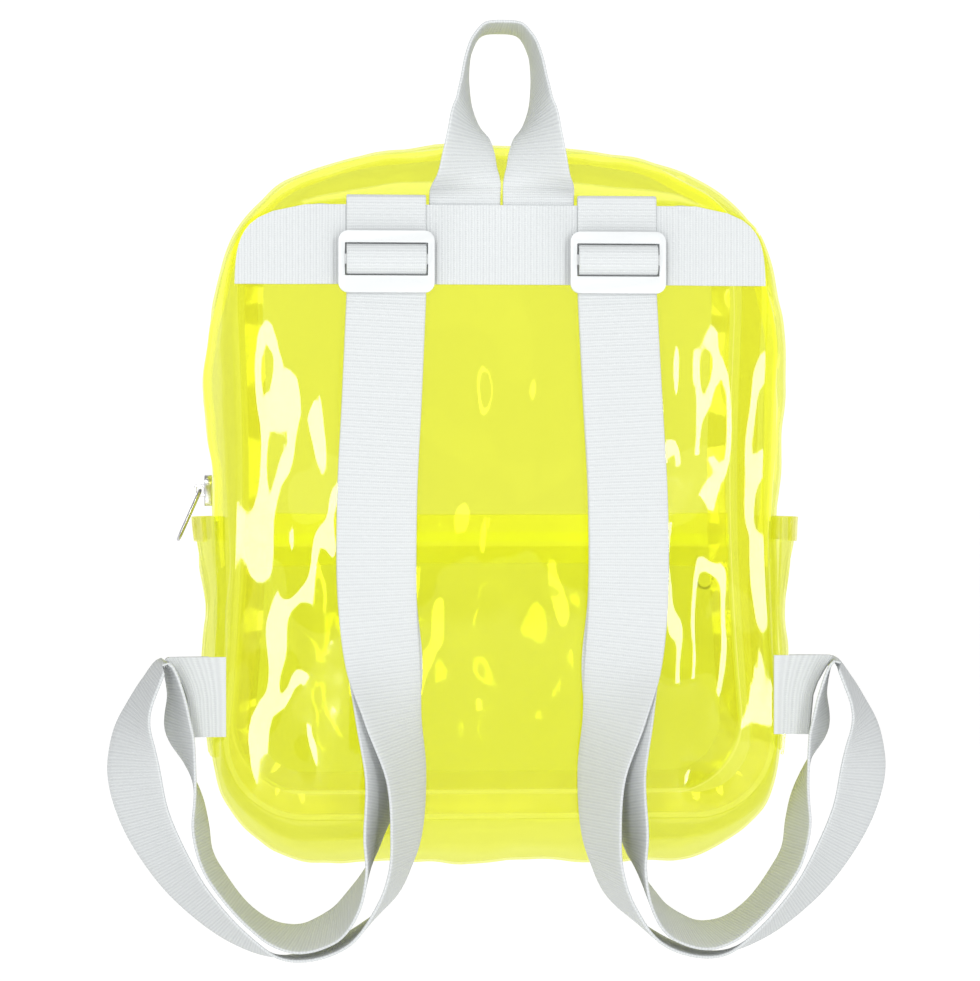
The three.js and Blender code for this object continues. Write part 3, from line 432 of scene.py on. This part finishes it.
def film_material(name, tint, body, body_share, painted_glow):
    """Clear tinted film: light passes straight through with the tint, the surface
    reflects by its angle, and a small share of light is spread by the film itself.
    That spread layer also carries a painted glow: emission in the body colour."""
    s = Shader(name)
    through = s.node("ShaderNodeBsdfTransparent", None, Color=(*tint, 1)).outputs[0]
    gloss = s.node("ShaderNodeBsdfPrincipled", None, Base_Color=(1, 1, 0.95, 1), Metallic=1.0,
                   Roughness=FILM_ROUGHNESS).outputs[0]
    # painted glow: the spread layer's emission makes the film glow though it is no lamp
    spread = s.node("ShaderNodeBsdfPrincipled", None, Base_Color=(*body, 1), Specular_IOR_Level=0.0,
                    Emission_Color=(*body, 1), Emission_Strength=painted_glow).outputs[0]
    face = s.value(s.node("ShaderNodeFresnel", None, IOR=FILM_IOR).outputs[0]).at_most(MOST_GLOSS)
    own = s.node("ShaderNodeMixShader", None, i0=body_share, i1=through, i2=spread).outputs[0]
    return s.ends(s.node("ShaderNodeMixShader", None, i0=face, i1=own, i2=gloss).outputs[0])


def weave_material(name, colour, dark, pitch, across, rough, depth, painted_glow=0.0,
                   open_share=0.0):
    """Woven webbing or tape: ribs across the length at a pitch in millimetres, split
    into yarns across the width. Its colour carries painted shade in the grooves,
    and an optional emission adds a painted glow."""
    s = Shader(name)
    uv = s.node("ShaderNodeUVMap", {"uv_map": "weave"}).outputs["UV"]
    parts = s.node("ShaderNodeSeparateXYZ", None, Vector=uv)
    along, side = s.value(parts.outputs["X"]), s.value(parts.outputs["Y"])
    rib = (along * (2000 * math.pi / pitch)).sin() * 0.5 + 0.5
    shift = (side * (2000 * math.pi / across)).sin()
    yarn = (along * (1000 * math.pi / pitch) + shift * 1.2).sin() * 0.5 + 0.5
    place = s.node("ShaderNodeTexCoord").outputs["Object"]
    grain = s.value(s.node("ShaderNodeTexNoise", None, Vector=place, Scale=900.0, Detail=3.0).outputs["Fac"])
    height = rib * 0.7 + yarn * 0.3 + shift * 0.12 + grain * 0.35
    # painted shade: the colour runs from dark in the rib and yarn grooves to light on their crowns, with some
    # random grain tone
    shade = (height * 0.85 + grain * 0.05).clamp()
    mixed = s.node("ShaderNodeMix", {"data_type": "RGBA"}, i0=shade, i6=(*dark, 1),
                   i7=(*colour, 1)).outputs[2]
    normal = s.node("ShaderNodeBump", None, Strength=0.8, Distance=depth, Height=height).outputs["Normal"]
    # the emission here is a painted glow
    cloth = s.node("ShaderNodeBsdfPrincipled", None, Base_Color=mixed, Roughness=rough, Normal=normal,
                   Emission_Color=mixed, Emission_Strength=painted_glow).outputs[0]
    if not open_share:
        return s.ends(cloth)
    through = s.node("ShaderNodeBsdfTransparent", None, Color=(0.97, 0.965, 0.66, 1)).outputs[0]
    return s.ends(s.node("ShaderNodeMixShader", None, i0=open_share, i1=cloth, i2=through).outputs[0])


def plain_material(name, colour, rough, metallic=0.0, grain=0.0, painted_glow=0.0):
    s = Shader(name)
    place = s.node("ShaderNodeTexCoord").outputs["Object"]
    grains = s.node("ShaderNodeTexNoise", None, Vector=place, Scale=700.0, Detail=3.0)
    speckle = s.value(grains.outputs["Fac"])
    uneven = speckle * (grain * 2) + (rough - grain)
    # the emission strength here is a painted glow in the surface's own colour
    return s.ends(s.node("ShaderNodeBsdfPrincipled", None, Base_Color=(*colour, 1), Roughness=uneven,
                         Metallic=metallic, Emission_Color=(*colour, 1), Emission_Strength=painted_glow).outputs[0])


TINT = (0.942, 0.952, 0.535)
# painted glow: both films get a yellow emission (the last argument)
film = film_material("film", TINT, (0.90, 0.90, 0.03), 0.05, 0.25)
film_edge = film_material("film_edge", (0.955, 0.95, 0.64), (0.92, 0.90, 0.2), 0.12, 0.12)
webbing = weave_material("webbing", (0.645, 0.67, 0.675), (0.53, 0.55, 0.56), 1.2, 0.9, 0.8, 0.00016)
# painted glow: the zip tape's emission makes it glow though it is no lamp
zip_tape = weave_material("zip_tape", (0.93, 0.93, 0.22), (0.85, 0.84, 0.16), 0.9, 0.8, 0.75, 0.00012,
                          painted_glow=0.55, open_share=0.6)
# painted glow: the coil's last argument is an emission that makes it glow
zip_coil = plain_material("zip_coil", (0.80, 0.88, 0.10), 0.4, 0.0, 0.05, 0.5)
acetal = plain_material("strap_slider", (0.65, 0.67, 0.675), 0.34, 0.0, 0.06)
metal = plain_material("zip_metal", (0.55, 0.55, 0.57), 0.24, 1.0, 0.06)


# Film pieces

def panel(side):
    """Back or front panel: straight lines from the panel's middle to its seam, with a
    bulge that falls off towards the seam and soft creases up and down."""
    share = np.linspace(0, 1, 44)[:, None] ** 0.9
    rim = SEAM_RING if side > 0 else np.roll(SEAM_RING[::-1], 1, axis=0)
    x, z = rim[:, 0] * share, lerp(PANEL_CENTRE_Z, rim[:, 1], share)
    flat = np.column_stack([x.ravel(), np.zeros(x.size), z.ravel()])
    edge = 1 - np.clip(share, 0, 1) ** 6
    if side > 0:
        crease = buckle(flat, [(26, 40, 1.0), (11, 20, 0.25)], 3.0).reshape(x.shape)
        y = DEPTH + front_bulge(x, z) + (crease - 0.6) * edge
    else:
        yoke = 0.15 + 0.85 * (1 - smoothstep(z, 205.0, 232.0))
        crease = buckle(flat, [(19, 55, 1.3), (9, 24, 0.35), (34, 40, 1.0)], 11.0).reshape(x.shape)
        crease = crease * (0.2 + 0.8 * smoothstep(np.abs(x), 34.0, 64.0))
        y = -back_bulge(x, z) - crease * edge * yoke
    grid = np.stack([x, y, z], axis=-1)
    return wall_piece("film_front" if side > 0 else "film_back", grid, FILM, film,
                      "front_panel" if side > 0 else "back_panel", closed=True, pole=True)


def gusset_points(share, off):
    """Rows of points over the gusset at shares of its depth, moved out by off."""
    seam, out = inset(SEAM_RING, -off), inset(GUSSET_RING, -off)
    full = fullness(share)[:, None, None]
    flat = lerp(seam[None], out[None], full)
    y = np.broadcast_to((GUSSET_START + GUSSET_DEPTH * share)[:, None], flat.shape[:2])
    base = lerp(SEAM_RING[None], GUSSET_RING[None], full)
    points = np.stack([base[..., 0], y, base[..., 1]], axis=-1)
    height = buckle(points.reshape(-1, 3), [(30, 30, 0.9), (13, 17, 0.45)], 7.0).reshape(y.shape)
    height = height * fullness(share)[:, None]
    step = np.roll(GUSSET_RING, -1, axis=0) - np.roll(GUSSET_RING, 1, axis=0)
    step /= np.linalg.norm(step, axis=1)[:, None]
    outwards = np.column_stack([step[:, 1], np.zeros(RING), -step[:, 0]])
    grid = np.stack([flat[..., 0], y, flat[..., 1]], axis=-1)
    return grid + outwards[None] * height[..., None]


def gusset():
    low = 0.5 - SLOT_SHARE
    ease = (1 - np.cos(np.linspace(0, np.pi / 2, 20))) * low
    share = np.concatenate([ease, 1 - ease[::-1]])
    slot = len(ease) - 1

    def keep(row, column):
        return ~((row == slot) & (column >= ZIP_START) & (column < RING - ZIP_START))

    wall_piece("film_gusset", gusset_points(share, 0.0), FILM, film, "gusset", closed=True, keep=keep)


def allowance(side):
    """Doubled film inside a seam: a flat ring between two insets of the seam."""
    near = DEPTH - FILM - GAP if side > 0 else FILM + GAP
    outer = FILM + 4 * GAP
    rows = []
    for k in np.linspace(1, 0, 5):
        points = inset(SEAM_RING, outer + SEAM_ALLOWANCE * k)
        if side < 0:
            points = np.roll(points[::-1], 1, axis=0)
        lift = 0.5 * np.sin(np.arange(RING) * 0.31 + side) * k
        rows.append(np.column_stack([points[:, 0], np.full(RING, near) - side * np.abs(lift), points[:, 1]]))
    name = "front" if side > 0 else "back"
    wall_piece(f"seam_edge_{name}", np.array(rows), ALLOWANCE, film_edge, f"{name}_seam_allowance",
               closed=True)


STAND_TABLE = np.array([[0, 0], [0.18, 0.45], [0.42, 0.62], [0.62, 0.36], [0.82, 0.86], [1, 1]])


def side_point(height, share, off, side):
    z = lerp(SIDE_POCKET_BASE_Z, SIDE_POCKET_TOP_Z, height)
    x = lerp(seam_half_width(z), gusset_half_width(z), fullness(share)) + off
    return np.stack([side * x, GUSSET_START + GUSSET_DEPTH * share, z + 0 * x], axis=-1)


def pocket_stand(height, share):
    nearby = [np.interp(height + d, STAND_TABLE[:, 0], STAND_TABLE[:, 1])
              for d in (-0.06, -0.03, 0, 0.03, 0.06)]
    return GAP * 2 + SIDE_POCKET_STAND * np.mean(nearby, axis=0) * np.sin(np.pi * share) ** 0.6


def side_pocket(side, word):
    """Film over the gusset that stands further off towards its open top, with creases
    up and down it."""
    height, share = np.meshgrid(np.linspace(1, 0, 44), np.linspace(0.06, 0.94, 44), indexing="ij")
    if side < 0:
        share = share[:, ::-1]
    places = side_point(height, share, 0 * share, side).reshape(-1, 3)
    crease = buckle(places, [(13, 34, 1.0), (8, 12, 0.5)], 21.0 + side).reshape(share.shape)
    stand = pocket_stand(height, share)
    stand += crease * np.minimum(1, stand / 3) * np.sin(np.pi * share)
    wall_piece(f"film_side_pocket_{word}", side_point(height, share, FILM + stand, side), FILM, film,
               f"side_pocket_{word}")
    hem_share = HEM_HEIGHT / (SIDE_POCKET_TOP_Z - SIDE_POCKET_BASE_Z)
    height, share = np.meshgrid(np.linspace(1.0, 1 - hem_share, 7), np.linspace(0.14, 0.86, 44),
                                indexing="ij")
    if side < 0:
        share = share[:, ::-1]
    places = side_point(height, share, 0 * share, side).reshape(-1, 3)
    crease = buckle(places, [(13, 34, 1.0), (8, 12, 0.5)], 21.0 + side).reshape(share.shape)
    stand = pocket_stand(height, share)
    stand += crease * np.sin(np.pi * share) + 2 * GAP + HEM
    wall_piece(f"hem_{word}", side_point(height, share, FILM + stand, side), HEM, film_edge,
               f"side_pocket_hem_{word}")


BAND_BASE_Z, BAND_TOP_Z = POCKET_ZIP_Z - TAPE_WIDTH / 2, POCKET_ZIP_Z + TAPE_WIDTH / 2


def pocket_face(x, z):
    """How far the front pocket stands in front of the front seam plane. Under its zip
    band it slopes back to the panel."""
    def stand(level):
        share = np.maximum(0, (level - SEAM_BASE_Z) / (BAND_BASE_Z - SEAM_BASE_Z))
        half = seam_half_width(np.maximum(level, SEAM_BASE_Z + FILM))
        across = 1 - np.minimum(1, np.abs(x) / half) ** 3
        return FILM + GAP + POCKET_BULGE * (1 - (1 - share) ** 3) * (1 - 0.2 * share) * across

    below = front_bulge(x, z) + stand(z)
    low = front_bulge(x, 0 * z + BAND_BASE_Z) + stand(0 * z + BAND_BASE_Z)
    high = front_bulge(x, 0 * z + BAND_TOP_Z) + FILM + GAP
    return np.where(z <= BAND_BASE_Z, below, lerp(low, high, (z - BAND_BASE_Z) / TAPE_WIDTH))


def front_pocket():
    height, across = np.meshgrid(np.linspace(0, 1, 54) ** 1.15,
                                 np.sin(np.linspace(np.pi / 2, -np.pi / 2, 110)), indexing="ij")
    z = lerp(SEAM_BASE_Z + 2, POCKET_ZIP_Z - COIL_WIDTH / 2 - GAP, height)
    x = (seam_half_width(z) - 2 * GAP) * across
    flat = np.column_stack([x.ravel(), np.zeros(x.size), z.ravel()])
    crease = buckle(flat, [(24, 24, 1.2), (10, 12, 0.4)], 31.0).reshape(x.shape)
    fade = (1 - np.abs(across) ** 4) * (1 - smoothstep(z, BAND_BASE_Z - 12, BAND_BASE_Z))
    fade = fade * smoothstep(z, 24, 40)
    y = DEPTH + pocket_face(x, z) + crease * fade
    wall_piece("film_front_pocket", np.stack([x, y, z], axis=-1), FILM, film, "front_pocket")


# Webbing

def yoke():
    """The yoke: a band across the panel, raised over the loop's legs and strap ends."""
    columns = 160
    t = np.linspace(-1, 1, columns)
    rows = []
    raised_to = STRAP_CENTRE_X + WEBBING / 2 + 9
    for z in np.linspace(YOKE_TOP_Z - WEBBING, YOKE_TOP_Z, 13):
        x = (seam_half_width(z) - YOKE_END_INSET) * t
        raised = 1 - smoothstep(np.abs(x), raised_to, raised_to + 14)
        rows.append(np.column_stack([x, -(GAP + WEB + raised * LAYER), np.full(columns, z)]))
    grid = np.array(rows)
    faces = grid_faces(*grid.shape[:2])
    points, faces, _ = thickened(grid.reshape(-1, 3), faces, WEB)
    uv = np.column_stack([points[:, 0], points[:, 2]]) * 0.001
    finished("yoke_webbing", points, faces, webbing, "yoke_band", uv, sharp=50)


LOOP_TABLE = [
    (1.0, -0.22, 0.031, 0), (1.0, -0.1, 0.031, 0), (1.0, -0.03, 0.033, 0), (1.0, 0.04, 0.052, 1),
    (0.995, 0.08, 0.12, 6), (0.98, 0.115, 0.22, 17), (0.95, 0.17, 0.31, 32), (0.92, 0.28, 0.38, 42),
    (0.92, 0.4, 0.38, 55), (0.96, 0.51, 0.3, 72), (0.98, 0.62, 0.22, 80), (0.93, 0.78, 0.12, 85),
    (0.78, 0.9, 0.05, 88), (0.48, 0.985, 0.01, 90), (0.0, 1.0, 0.0, 90),
]


def haul_loop():
    top = LOOP_INNER_Z + WEB / 2
    half = []
    for x, z, off, turn in LOOP_TABLE:
        turn = math.radians(turn)
        half.append([-x * LOOP_HALF_SPAN, -off * LOOP_WEBBING, YOKE_TOP_Z + z * (top - YOKE_TOP_Z),
                     math.cos(turn), math.sin(turn), 0])
    left = np.array(half)
    right = left[:-1][::-1] * [-1, 1, 1, -1, 1, 1]
    stations = spline(np.concatenate([left, right]), 8)
    band_piece("haul_loop_webbing", stations, section(LOOP_WEBBING, WEB), webbing, "haul_loop")


STRAP_TABLE = [
    (0.389, 0.768, 0.17, 0, 0), (0.404, 0.635, 0.19, 0, 0), (0.42, 0.501, 0.22, 0, 0),
    (0.419, 0.366, 0.26, 0, 10), (0.4, 0.282, 0.31, 2, 20), (0.368, 0.213, 0.46, 6, 42),
    (0.325, 0.138, 0.52, 0, 59), (0.323, 0.058, 0.54, 0, 66), (0.342, 0.013, 0.52, -7, 71),
    (0.389, -0.033, 0.42, -3, 75), (0.489, -0.078, 0.3, -32, 79), (0.63, -0.106, 0.19, 34, 87),
    (0.756, -0.109, 0.11, 122, 80), (0.889, -0.083, 0.06, 136, 70), (1.023, -0.035, 0.03, 145, 61),
    (1.117, 0.015, 0.0, 157, 53), (1.196, 0.076, 0.0, 167, 47), (1.23, 0.13, 0.0, -177, 44),
    (1.234, 0.174, 0.0, -176, 53), (1.218, 0.213, 0.03, 174, 66), (1.18, 0.25, 0.06, 186, 74),
    (1.128, 0.281, 0.06, 180, 78), (1.09, 0.24, 0.06, 175, 75), (1.08, 0.19, 0.03, 165, 67),
    (1.045, 0.143, 0.0, 150, 80), (1.02, 0.098, -0.03, 60, 84), (1.01, 0.061, -0.03, 0, 82),
    (0.992, 0.023, -0.01, -20, 84), (0.95, -0.008, 0.02, -45, 84), (0.856, -0.054, 0.05, -98, 83),
    (0.759, -0.079, 0.11, -122, 78), (0.665, -0.083, 0.19, -140, 75), (0.558, -0.064, 0.3, -150, 76),
    (0.484, -0.026, 0.44, -160, 83), (0.446, 0.013, 0.54, 0, 86), (0.43, 0.058, 0.55, 0, 74),
    (0.3875, 0.138, 0.47, 0, 55), (0.389, 0.213, 0.37, 0, 38), (0.394, 0.282, 0.22, 0, 18),
    (0.419, 0.366, 0.15, 0, 8), (0.42, 0.501, 0.12, 0, 0), (0.404, 0.635, 0.12, 0, 0),
    (0.389, 0.768, 0.12, 0, 0),
]
GLIDE_TOP_Z = YOKE_TOP_Z - GLIDE_DROP
GLIDE_BACK = layer_middle(3) + WEB / 2 + GAP
TOP_BAR_Z = GLIDE_TOP_Z - GLIDE_TOP_BAR
BAR_TOP_Z = TOP_BAR_Z - GLIDE_SLOT
BAR_BOTTOM_Z = BAR_TOP_Z - GLIDE_CENTRE_BAR
BOTTOM_BAR_Z = BAR_BOTTOM_Z - GLIDE_SLOT


def strap(side, word):
    """One webbing: from behind the yoke, over it, through the slider, down in front,
    round the side tab, up behind and round the slider's middle bar."""
    clear = GAP + WEB / 2
    front = GLIDE_BACK + GLIDE_THICKNESS
    over = front + clear + LAYER
    slot = GLIDE_BACK + GLIDE_THICKNESS / 2
    lm = layer_middle
    start = [
        (YOKE_TOP_Z - WEBBING / 2, lm(0)), (YOKE_TOP_Z - WEBBING / 4, lm(0)),
        (YOKE_TOP_Z + STRAP_FOLD_RISE / 2, lm(0)), (YOKE_TOP_Z + STRAP_FOLD_RISE * 0.9, lm(0.35)),
        (YOKE_TOP_Z + STRAP_FOLD_RISE, lm(1)), (YOKE_TOP_Z + STRAP_FOLD_RISE * 0.9, lm(1.65)),
        (YOKE_TOP_Z + STRAP_FOLD_RISE / 2, lm(2)), (GLIDE_TOP_Z + clear, lm(2)), (TOP_BAR_Z + clear, lm(2.4)),
        (TOP_BAR_Z - clear, lm(3.4)), (TOP_BAR_Z - clear - 0.1, slot),
        (TOP_BAR_Z - clear - 0.6, front + clear), (BAR_TOP_Z + clear, over - GAP),
        ((BAR_TOP_Z + BAR_BOTTOM_Z) / 2, over), (BAR_BOTTOM_Z - clear, over - GAP),
        (BOTTOM_BAR_Z + clear + 0.8, front + clear), (BOTTOM_BAR_Z + clear + 0.1, slot),
        (BOTTOM_BAR_Z + clear, GLIDE_BACK + GAP), (BOTTOM_BAR_Z + clear * 0.7, lm(3.2)),
        (BOTTOM_BAR_Z - clear * 0.3, lm(3)), (BOTTOM_BAR_Z - GLIDE_BOTTOM_BAR, lm(3)),
    ]
    end = [
        (BOTTOM_BAR_Z - GLIDE_BOTTOM_BAR, lm(2)), (BOTTOM_BAR_Z, lm(2)), (BAR_BOTTOM_Z - clear, lm(2.4)),
        (BAR_BOTTOM_Z + clear, GLIDE_BACK - clear), (BAR_TOP_Z, GLIDE_BACK - clear),
        (BAR_TOP_Z + clear + 0.1, GLIDE_BACK + GAP), (BAR_TOP_Z + clear + 0.1, slot),
        (BAR_TOP_Z + clear + 0.1, front),
        (BAR_TOP_Z + clear * 0.75, front + clear * 0.75), (BAR_TOP_Z - GAP, front + clear),
        (BAR_BOTTOM_Z + GAP, front + clear), (BAR_BOTTOM_Z - clear * 0.75, front + clear * 0.75),
        (BAR_BOTTOM_Z - clear - 0.1, front), (BAR_BOTTOM_Z - clear - 0.1, slot),
    ]

    def profile(rows):
        return rounded(np.array([[side * STRAP_CENTRE_X, -q, z, side, 0, 0] for z, q in rows]))

    hanging = []
    for reach, height, off, lean, turn in STRAP_TABLE:
        x, z = reach * STRAP_SPREAD, height * STRAP_DROP
        lean, turn = math.radians(lean), math.radians(turn)
        spread = math.cos(turn)
        hanging.append([side * x, -(back_bulge(x, z) + off * WEBBING), z,
                        side * spread * math.cos(lean), -math.sin(turn), spread * math.sin(lean)])
    stations = np.concatenate([profile(start), spline(np.array(hanging), 7), profile(end)])
    length = np.linalg.norm(np.diff(stations[:, :3], axis=0), axis=1)
    stations = stations[np.concatenate([[True], length > 1e-4])]
    stations[:, 3:] /= np.linalg.norm(stations[:, 3:], axis=1)[:, None]
    band_piece(f"strap_webbing_{word}", stations, section(WEBBING, WEB), webbing, f"strap_{word}")
    cad_copy(f"slider_{word}", f"strap_slider_{word}", acetal, "bag", GLIDE_BEVEL)


def tab(side, word):
    """Webbing sewn into the back seam, out to a slanted fold and back."""
    seam_x = seam_half_width(TAB_CENTRE_Z) + GAP
    route = np.array([(0, 0), (0.35, 0.15), (0.75, 0.6), (0.93, 0.85), (1, 1), (1, -1), (0.93, -1.6),
                      (0.6, -1.8), (0.3, -1.85)])
    route = rounded(route, 2)
    rows = []
    for reach, q in route:
        row = []
        for edge in np.linspace(-1, 1, 7):
            length = TAB_REACH - TAB_SLANT * (1 - edge) / 2 + TAB_LEAN * max(0.0, edge) ** 1.5
            row.append([side * (seam_x + reach * length), -q * TAB_LOOP / 2 - layer_middle(0),
                        TAB_CENTRE_Z + edge * WEBBING / 2])
        rows.append(row if side > 0 else row[::-1])
    grid = np.array(rows)
    points, faces, used = thickened(grid.reshape(-1, 3), grid_faces(*grid.shape[:2]), WEB)
    length = np.repeat(np.arange(len(rows)) * 1.1, 7)[used]
    uv = np.column_stack([np.tile(length, 2), points[:, 2]]) * 0.001
    finished(f"tab_webbing_{word}", points, faces, webbing, f"strap_tab_{word}", uv, sharp=50)


# Zips

def coil_profile(count_each, pitch_steps):
    """Section of a zip coil: two rows of teeth either side of a groove, their height
    changed along the route so that each tooth shows."""
    base = section(COIL_WIDTH, COIL)
    groove = 1 - 0.45 * np.exp(-(base[:, 0] / 0.5) ** 2)
    k = np.arange(count_each)
    tooth = 0.72 + 0.28 * np.abs(np.cos(np.pi * k / pitch_steps))
    out = np.empty((count_each, len(base), 2))
    out[:, :, 0] = base[:, 0] * (0.94 + 0.06 * tooth)[:, None]
    out[:, :, 1] = base[:, 1] * groove * tooth[:, None]
    return out


def resampled(stations, gap):
    """Stations set at even distances along their route."""
    length = np.concatenate([[0], np.cumsum(np.linalg.norm(np.diff(stations[:, :3], axis=0), axis=1))])
    at = np.linspace(0, length[-1], int(length[-1] / gap) + 1)
    return np.column_stack([np.interp(at, length, stations[:, k]) for k in range(stations.shape[1])])


def main_zip():
    first = ZIP_START
    for name, off, extra, node in (("tape", -(FILM + 2 * GAP + TAPE / 2), FINE, "main_zip_tape"),
                                   ("coil", -FILM + COIL / 2, 0, "main_zip_coil")):
        points = gusset_points(np.array([0.5]), off)[0]
        route = points[first - extra:RING - first + extra + 1]
        stations = np.column_stack([route, np.tile([0.0, 1.0, 0.0], (len(route), 1))])
        if name == "tape":
            band_piece("main_tape", stations, section(TAPE_WIDTH, TAPE), zip_tape, node)
        else:
            stations = resampled(stations, TOOTH_STEP)
            teeth = coil_profile(len(stations), STEPS_A_TOOTH)
            band_piece("main_coil", stations, teeth, zip_coil, node)


def pocket_zip():
    reach = seam_half_width(POCKET_ZIP_Z) - 4 * GAP
    x = reach * np.sin(np.linspace(-np.pi / 2, np.pi / 2, 90))

    def edge(at, level):
        z = np.full(at.shape, level)
        return np.column_stack([at, DEPTH + pocket_face(at, z), z])

    across = edge(x, BAND_TOP_Z) - edge(x, BAND_BASE_Z)
    across /= np.linalg.norm(across, axis=1)[:, None]
    middle = (edge(x, BAND_TOP_Z) + edge(x, BAND_BASE_Z)) / 2
    out = np.cross(across, np.gradient(middle, axis=0))
    out /= np.linalg.norm(out, axis=1)[:, None]
    tape_off = 2 * GAP + TAPE / 2
    coil_off = tape_off + TAPE / 2 + 3 * GAP + COIL / 2
    band_piece("pocket_tape", np.column_stack([middle + out * tape_off, across]), section(TAPE_WIDTH, TAPE),
               zip_tape, "pocket_zip_tape")
    stations = resampled(np.column_stack([middle + out * coil_off, across]), TOOTH_STEP)
    teeth = coil_profile(len(stations), STEPS_A_TOOTH)
    band_piece("pocket_coil", stations, teeth, zip_coil, "pocket_zip_coil")


panel(-1)
panel(1)
gusset()
allowance(-1)
allowance(1)
front_pocket()
yoke()
haul_loop()
for side, word in ((-1, "left"), (1, "right")):
    side_pocket(side, word)
    strap(side, word)
    tab(side, word)
main_zip()
pocket_zip()
for word in ("main", "pocket"):
    cad_copy(f"{word}_slider_metal", f"{word}_zip_slider", metal, "bag", SLIDER_BEVEL)
    cad_copy(f"{word}_pull_metal", f"{word}_zip_pull", metal, f"{word}_pull", PULL_BEVEL)


# Studio

def studio():
    """A pale floor that turns up into a pale wall far behind, soft light all round and
    a tall soft box at either side of the camera."""
    y = np.concatenate([[-3.0, 1.2], 1.2 + 0.6 * np.sin(np.linspace(0.1, np.pi / 2, 14)), [1.8]])
    z = np.concatenate([[0, 0], 0.6 * (1 - np.cos(np.linspace(0.1, np.pi / 2, 14))), [3.4]]) - 0.46
    x = np.linspace(-4, 4, 9)
    points = np.array([[[a, b, c] for a in x] for b, c in zip(y, z)])
    mesh = bpy.data.meshes.new("floor")
    mesh.from_pydata(points.reshape(-1, 3).tolist(), [], grid_faces(*points.shape[:2]).tolist())
    mesh.polygons.foreach_set("use_smooth", np.ones(len(mesh.polygons), dtype=bool))
    s = Shader("pale_floor")
    pale = s.node("ShaderNodeBsdfPrincipled", None, Base_Color=(0.4, 0.4, 0.4, 1), Roughness=0.9,
                  Emission_Color=(1, 1, 1, 1), Emission_Strength=0.73)
    mesh.materials.append(s.ends(pale.outputs[0]))
    floor = bpy.data.objects.new("floor", mesh)
    bpy.context.scene.collection.objects.link(floor)
    world = bpy.data.worlds.new("studio")
    bpy.context.scene.world = world
    world.use_nodes = True
    world.node_tree.nodes["Background"].inputs["Color"].default_value = (1, 1, 1, 1)
    world.node_tree.nodes["Background"].inputs["Strength"].default_value = 0.46
    for name, place, width, height, power in (
        ("box_left", (-0.36, -1.35, -0.02), 0.20, 0.9, 8),
        ("box_right", (0.47, -1.35, 0.0), 0.17, 0.8, 5.8),
        ("box_top", (0.1, -0.6, 1.1), 0.7, 0.5, 2),
    ):
        data = bpy.data.lights.new(name, "AREA")
        data.shape = "RECTANGLE"
        data.size, data.size_y, data.energy = width, height, power
        lamp = bpy.data.objects.new(name, data)
        lamp.location = place
        aim = Vector((0, 0, -0.18)) - Vector(place)
        lamp.rotation_euler = aim.to_track_quat("-Z", "Y").to_euler()
        bpy.context.scene.collection.objects.link(lamp)


def camera():
    data = bpy.data.cameras.new("camera")
    data.lens, data.sensor_width = 100, 36
    eye = bpy.data.objects.new("camera", data)
    eye.location = (-0.0695, -1.10, -0.1868)
    eye.rotation_euler = Vector((0.059, 1, 0)).to_track_quat("-Z", "Y").to_euler()
    bpy.context.scene.collection.objects.link(eye)
    bpy.context.scene.camera = eye


studio()
camera()
bpy.context.scene.view_settings.view_transform = "Standard"
light_paths = bpy.context.scene.cycles
light_paths.transparent_max_bounces = 24  # fewer turn film seen edge on dark
light_paths.max_bounces = 7
light_paths.diffuse_bounces = 2
light_paths.glossy_bounces = 3
